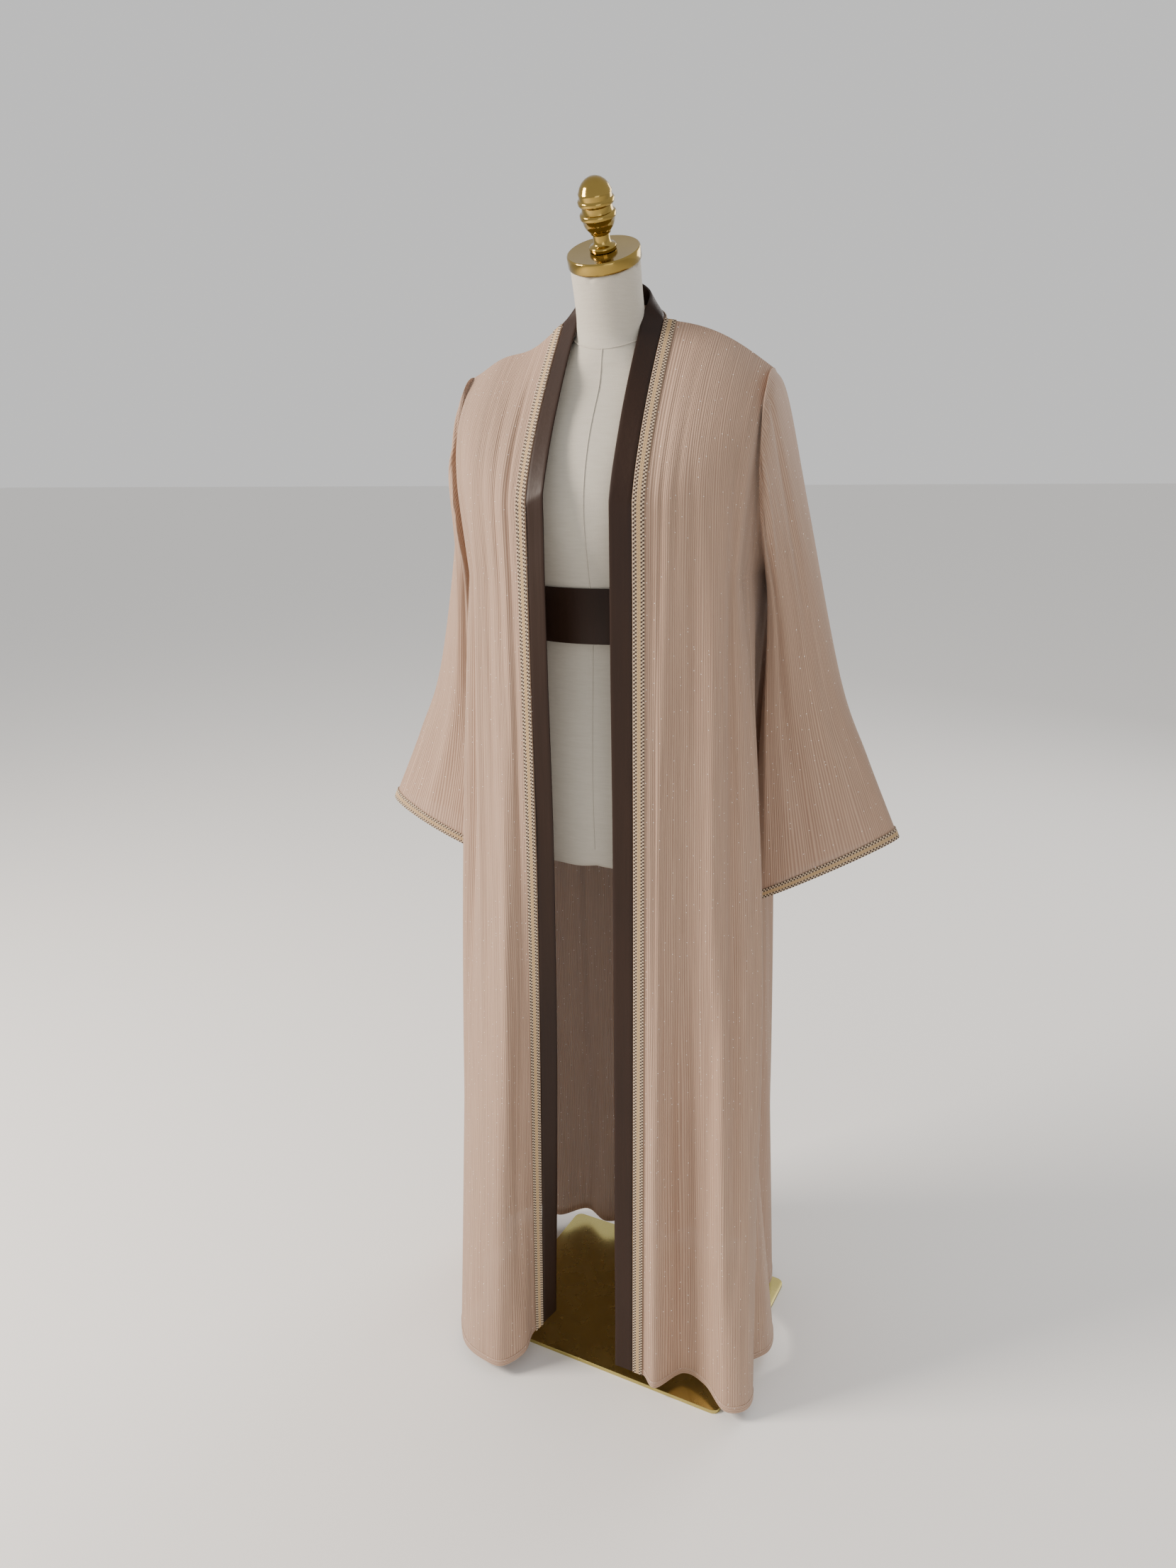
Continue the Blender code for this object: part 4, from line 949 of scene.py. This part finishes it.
neck_lines = np.linspace(CENTRE_BACK, NECK_LINE, NECK_STATIONS)
around = ((CENTRE_BACK - neck_lines) / (CENTRE_BACK - NECK_LINE))[:, None]
neck_seam = np.array([seam_point(line) for line in neck_lines])
front_falls = (np.arange(1, FRONT_STATIONS + 1) / FRONT_STATIONS) ** 1.2
for name, side in (("left", 1), ("right", -1)):
    points, normals = front_edge(side, front_falls)
    settled = np.clip(front_falls / 0.10, 0, 1)[:, None]
    flat = unit(points[:, 0] - points[:, -1])
    across = np.vstack([mix(BACK_LIE.across, NECK_LIE.across, around), mix(TOP_OF_FRONT, flat, settled)])
    out = np.vstack([mix(BACK_LIE.out, NECK_LIE.out, around), normals[:, 0]])
    across, out = smoothed(unit(across), 10), smoothed(unit(out), 10)
    out = unit(out - across * (out * across).sum(axis=1, keepdims=True))
    seam = np.vstack([neck_seam, points[:, 0]])
    lift = np.concatenate([np.full(NECK_STATIONS + 1, BAND_LIFT), np.full(FRONT_STATIONS - 1, EASE)])
    lift = np.convolve(np.pad(lift, 6, mode="edge"), np.ones(13) / 13, mode="valid")[:, None]
    near = seam + across * lift + out * (BAND - CLOTH_WALL) / 2
    for z, half, depth in BAND_BUCKLES:
        near += out * (depth * 0.5 * np.exp(-((near[:, 2:] - z * (1 + 0.012 * side)) / half) ** 2))
    far = near + across * BAND_WIDTH
    near[0, 0] = far[0, 0] = EASE
    band = swept("band_" + name + "_satin", near, far, out, BAND, BAND_OUTLINE, mirror=side)
    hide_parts("band_" + name)
    complete(band, SATIN, smooth=math.radians(50))
    "front_" + name + "_chiffon"

# ---- braid ----
# A woven tape worked in cross stitch, dark brown and cream in a small check along both
# edges and honey down the middle. It is sewn beside each band and round each cuff.

TAPE_WALL = 0.0009
BRAID_LIFT, NECK_LIFT = TAPE_WALL + 0.0004, TAPE_WALL + 0.0012      # of the tape's face off the panel
CORNER_STATIONS = 9
STITCH_PITCH = 0.00235
CHART = ("bchhcb", "cbhhbc")        # b brown, c cream and h honey, two rows that repeat
BROWN_THREAD = thread("brown_thread", dye(40, 25, 20), dye(62, 42, 34))
CREAM_THREAD = thread("cream_thread", dye(206, 182, 150), dye(224, 204, 174))
HONEY_THREAD = thread("honey_thread", dye(184, 152, 108), dye(206, 176, 132))
TAPE = thread("braid_tape", dye(134, 108, 86), dye(160, 134, 108))
THREADS = {"b": ("brown", BROWN_THREAD), "c": ("cream", CREAM_THREAD), "h": ("honey", HONEY_THREAD)}


def braid(name, node, near, far, out, side):
    """One length of braid: its tape, and its cross stitches in three colours of thread."""
    tape = swept(name + "_tape", near, far, out, TAPE_WALL, FLAT_STRIP, mirror=side)
    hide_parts(node)
    complete(tape, TAPE)
    rows = evenly((near + far) / 2, STITCH_PITCH)
    low, high, up = at_rows(near, rows), at_rows(far, rows), unit(at_rows(out, rows))
    along = unit(np.gradient((low + high) / 2, axis=0))
    reach = high - low
    width = np.linalg.norm(reach, axis=1).mean()
    count = len(CHART[0])
    margin = (width - count * STITCH_PITCH) / 2 / width
    for key, (colour, finish) in THREADS.items():
        places, ways, ups = [], [], []
        for column in range(count):
            picked = np.array([CHART[row % 2][column] == key for row in range(len(rows))])
            if not picked.any():
                continue
            share = margin + (1 - 2 * margin) * (column + 0.5) / count
            centre = (low + reach * share)[picked]
            across, onward, lift = unit(reach[picked]), along[picked], up[picked]
            for slope, raise_by in ((1, 0.0), (-1, 0.00012)):
                places.append(centre + lift * raise_by)
                ways.append(unit(across + onward * slope))
                ups.append(lift)
        worked = stitches(name + "_" + colour, np.vstack(places), np.vstack(ways), np.vstack(ups),
                          STITCH_PITCH * 1.30, STITCH_PITCH * 0.42, 0.0005, mirror=side)
        complete(worked, finish, smooth=math.radians(70))


for name, side in (("left", 1), ("right", -1)):
    falls = np.concatenate([[0], front_falls])
    points, normals = front_edge(side, falls)
    edge_in = unit(points[:, 1] - points[:, 0]) * EASE * 2
    front_near = points[:, 0] + edge_in + normals[:, 0] * BRAID_LIFT
    front_far = points[:, -1] + normals[:, -1] * BRAID_LIFT
    fine = np.linspace(0, BRAID_WIDTH * 0.95 / SHOULDER_NECK.z, 6)
    back, back_normals = folded(np.linspace(NECK_LINE, CENTRE_BACK, NECK_STATIONS), fine)
    back, back_normals = back[:, ::-1], back_normals[:, ::-1]
    rise = back_normals[3] * NECK_LIFT
    neck_near, neck_far = back[0] + rise, back[-1] + rise
    turn = np.linspace(0, 1, CORNER_STATIONS + 2)[1:-1, None]
    corner = mix(neck_near[-1], front_near[0], turn)
    reach = mix(neck_far[-1] - neck_near[-1], front_far[0] - front_near[0], turn)
    corner_out = unit(mix(back_normals[3, -1], normals[0, 0], turn))
    near = np.vstack([neck_near, corner, front_near])
    far = np.vstack([neck_far, corner + unit(reach) * BRAID_WIDTH, front_far])
    far = near + unit(far - near) * BRAID_WIDTH
    out = smoothed(np.vstack([back_normals[3], corner_out, normals[:, 0]]), 6)
    near[0, 0] = far[0, 0] = EASE
    braid("braid_" + name, "trim_" + name, near, far, out, side)

for name, side, table, pleats in SLEEVES:
    top_share = sleeve_braid_start(table)
    grid_down = np.linspace(0.9, 1.0, 21)
    points, normals = sleeve_grid(table, pleats, sleeve_turns, grid_down)
    first = np.searchsorted(grid_down, top_share)
    share = (top_share - grid_down[first - 1]) / (grid_down[1] - grid_down[0])
    top = mix(points[first - 1], points[first], share)
    lift = normals[-1] * BRAID_LIFT
    braid("cuff_braid_" + name, "cuff_trim_" + name, points[-1] + lift, top + lift, normals[-1], side)

# ---- floor, light and camera ----
# A plain pale floor, three large soft lights, and a camera a little above shoulder height,
# in front of the cloak and to the wearer's left.

bpy.ops.mesh.primitive_plane_add(size=60, location=(0, 0, -0.0002))
floor = bpy.context.object
floor.name = "floor"
pale = Finish("pale_floor", Base_Color=dye(236, 234, 231), Roughness=0.7)
floor.data.materials.append(pale.material)

world = bpy.data.worlds.new("studio")
world.use_nodes = True
sky = world.node_tree.nodes["Background"]
sky.inputs["Color"].default_value = (1.0, 0.995, 0.99, 1.0)
sky.inputs["Strength"].default_value = 0.75
bpy.context.scene.world = world

AIM = Vector((0, 0, 0.9))
for name, place, size, watts, colour in (
        ("key_light", (-2.9, -1.5, 2.6), 1.2, 230, (1.0, 0.90, 0.80)),
        ("fill_light", (1.6, -3.0, 0.7), 1.8, 18, (1.0, 0.98, 0.97)),
        ("back_light", (1.6, 2.8, 2.6), 1.8, 50, (1.0, 0.97, 0.94))):
    bpy.ops.object.light_add(type="AREA", location=place)
    light = bpy.context.object
    light.name = name
    light.data.size, light.data.energy, light.data.color = size, watts, colour
    light.rotation_euler = (AIM - Vector(place)).to_track_quat("-Z", "Y").to_euler()

AZIMUTH, PITCH, ROLL = math.radians(18), math.radians(17.1), math.radians(1.0)
right = Vector((math.cos(AZIMUTH), math.sin(AZIMUTH), 0))
ahead = Vector((-math.sin(AZIMUTH), math.cos(AZIMUTH), 0))
look = ahead * math.cos(PITCH) - Vector((0, 0, 1)) * math.sin(PITCH)
up = Vector((0, 0, 1)) * math.cos(PITCH) + ahead * math.sin(PITCH)
tilted_x = right * math.cos(ROLL) - up * math.sin(ROLL)
tilted_y = right * math.sin(ROLL) + up * math.cos(ROLL)
bpy.ops.object.camera_add(location=(0.434, -1.46, 1.361))
camera = bpy.context.object
camera.rotation_euler = Matrix((tilted_x, tilted_y, -look)).transposed().to_euler()
camera.data.lens, camera.data.sensor_width = 26.04, 36
bpy.context.scene.camera = camera
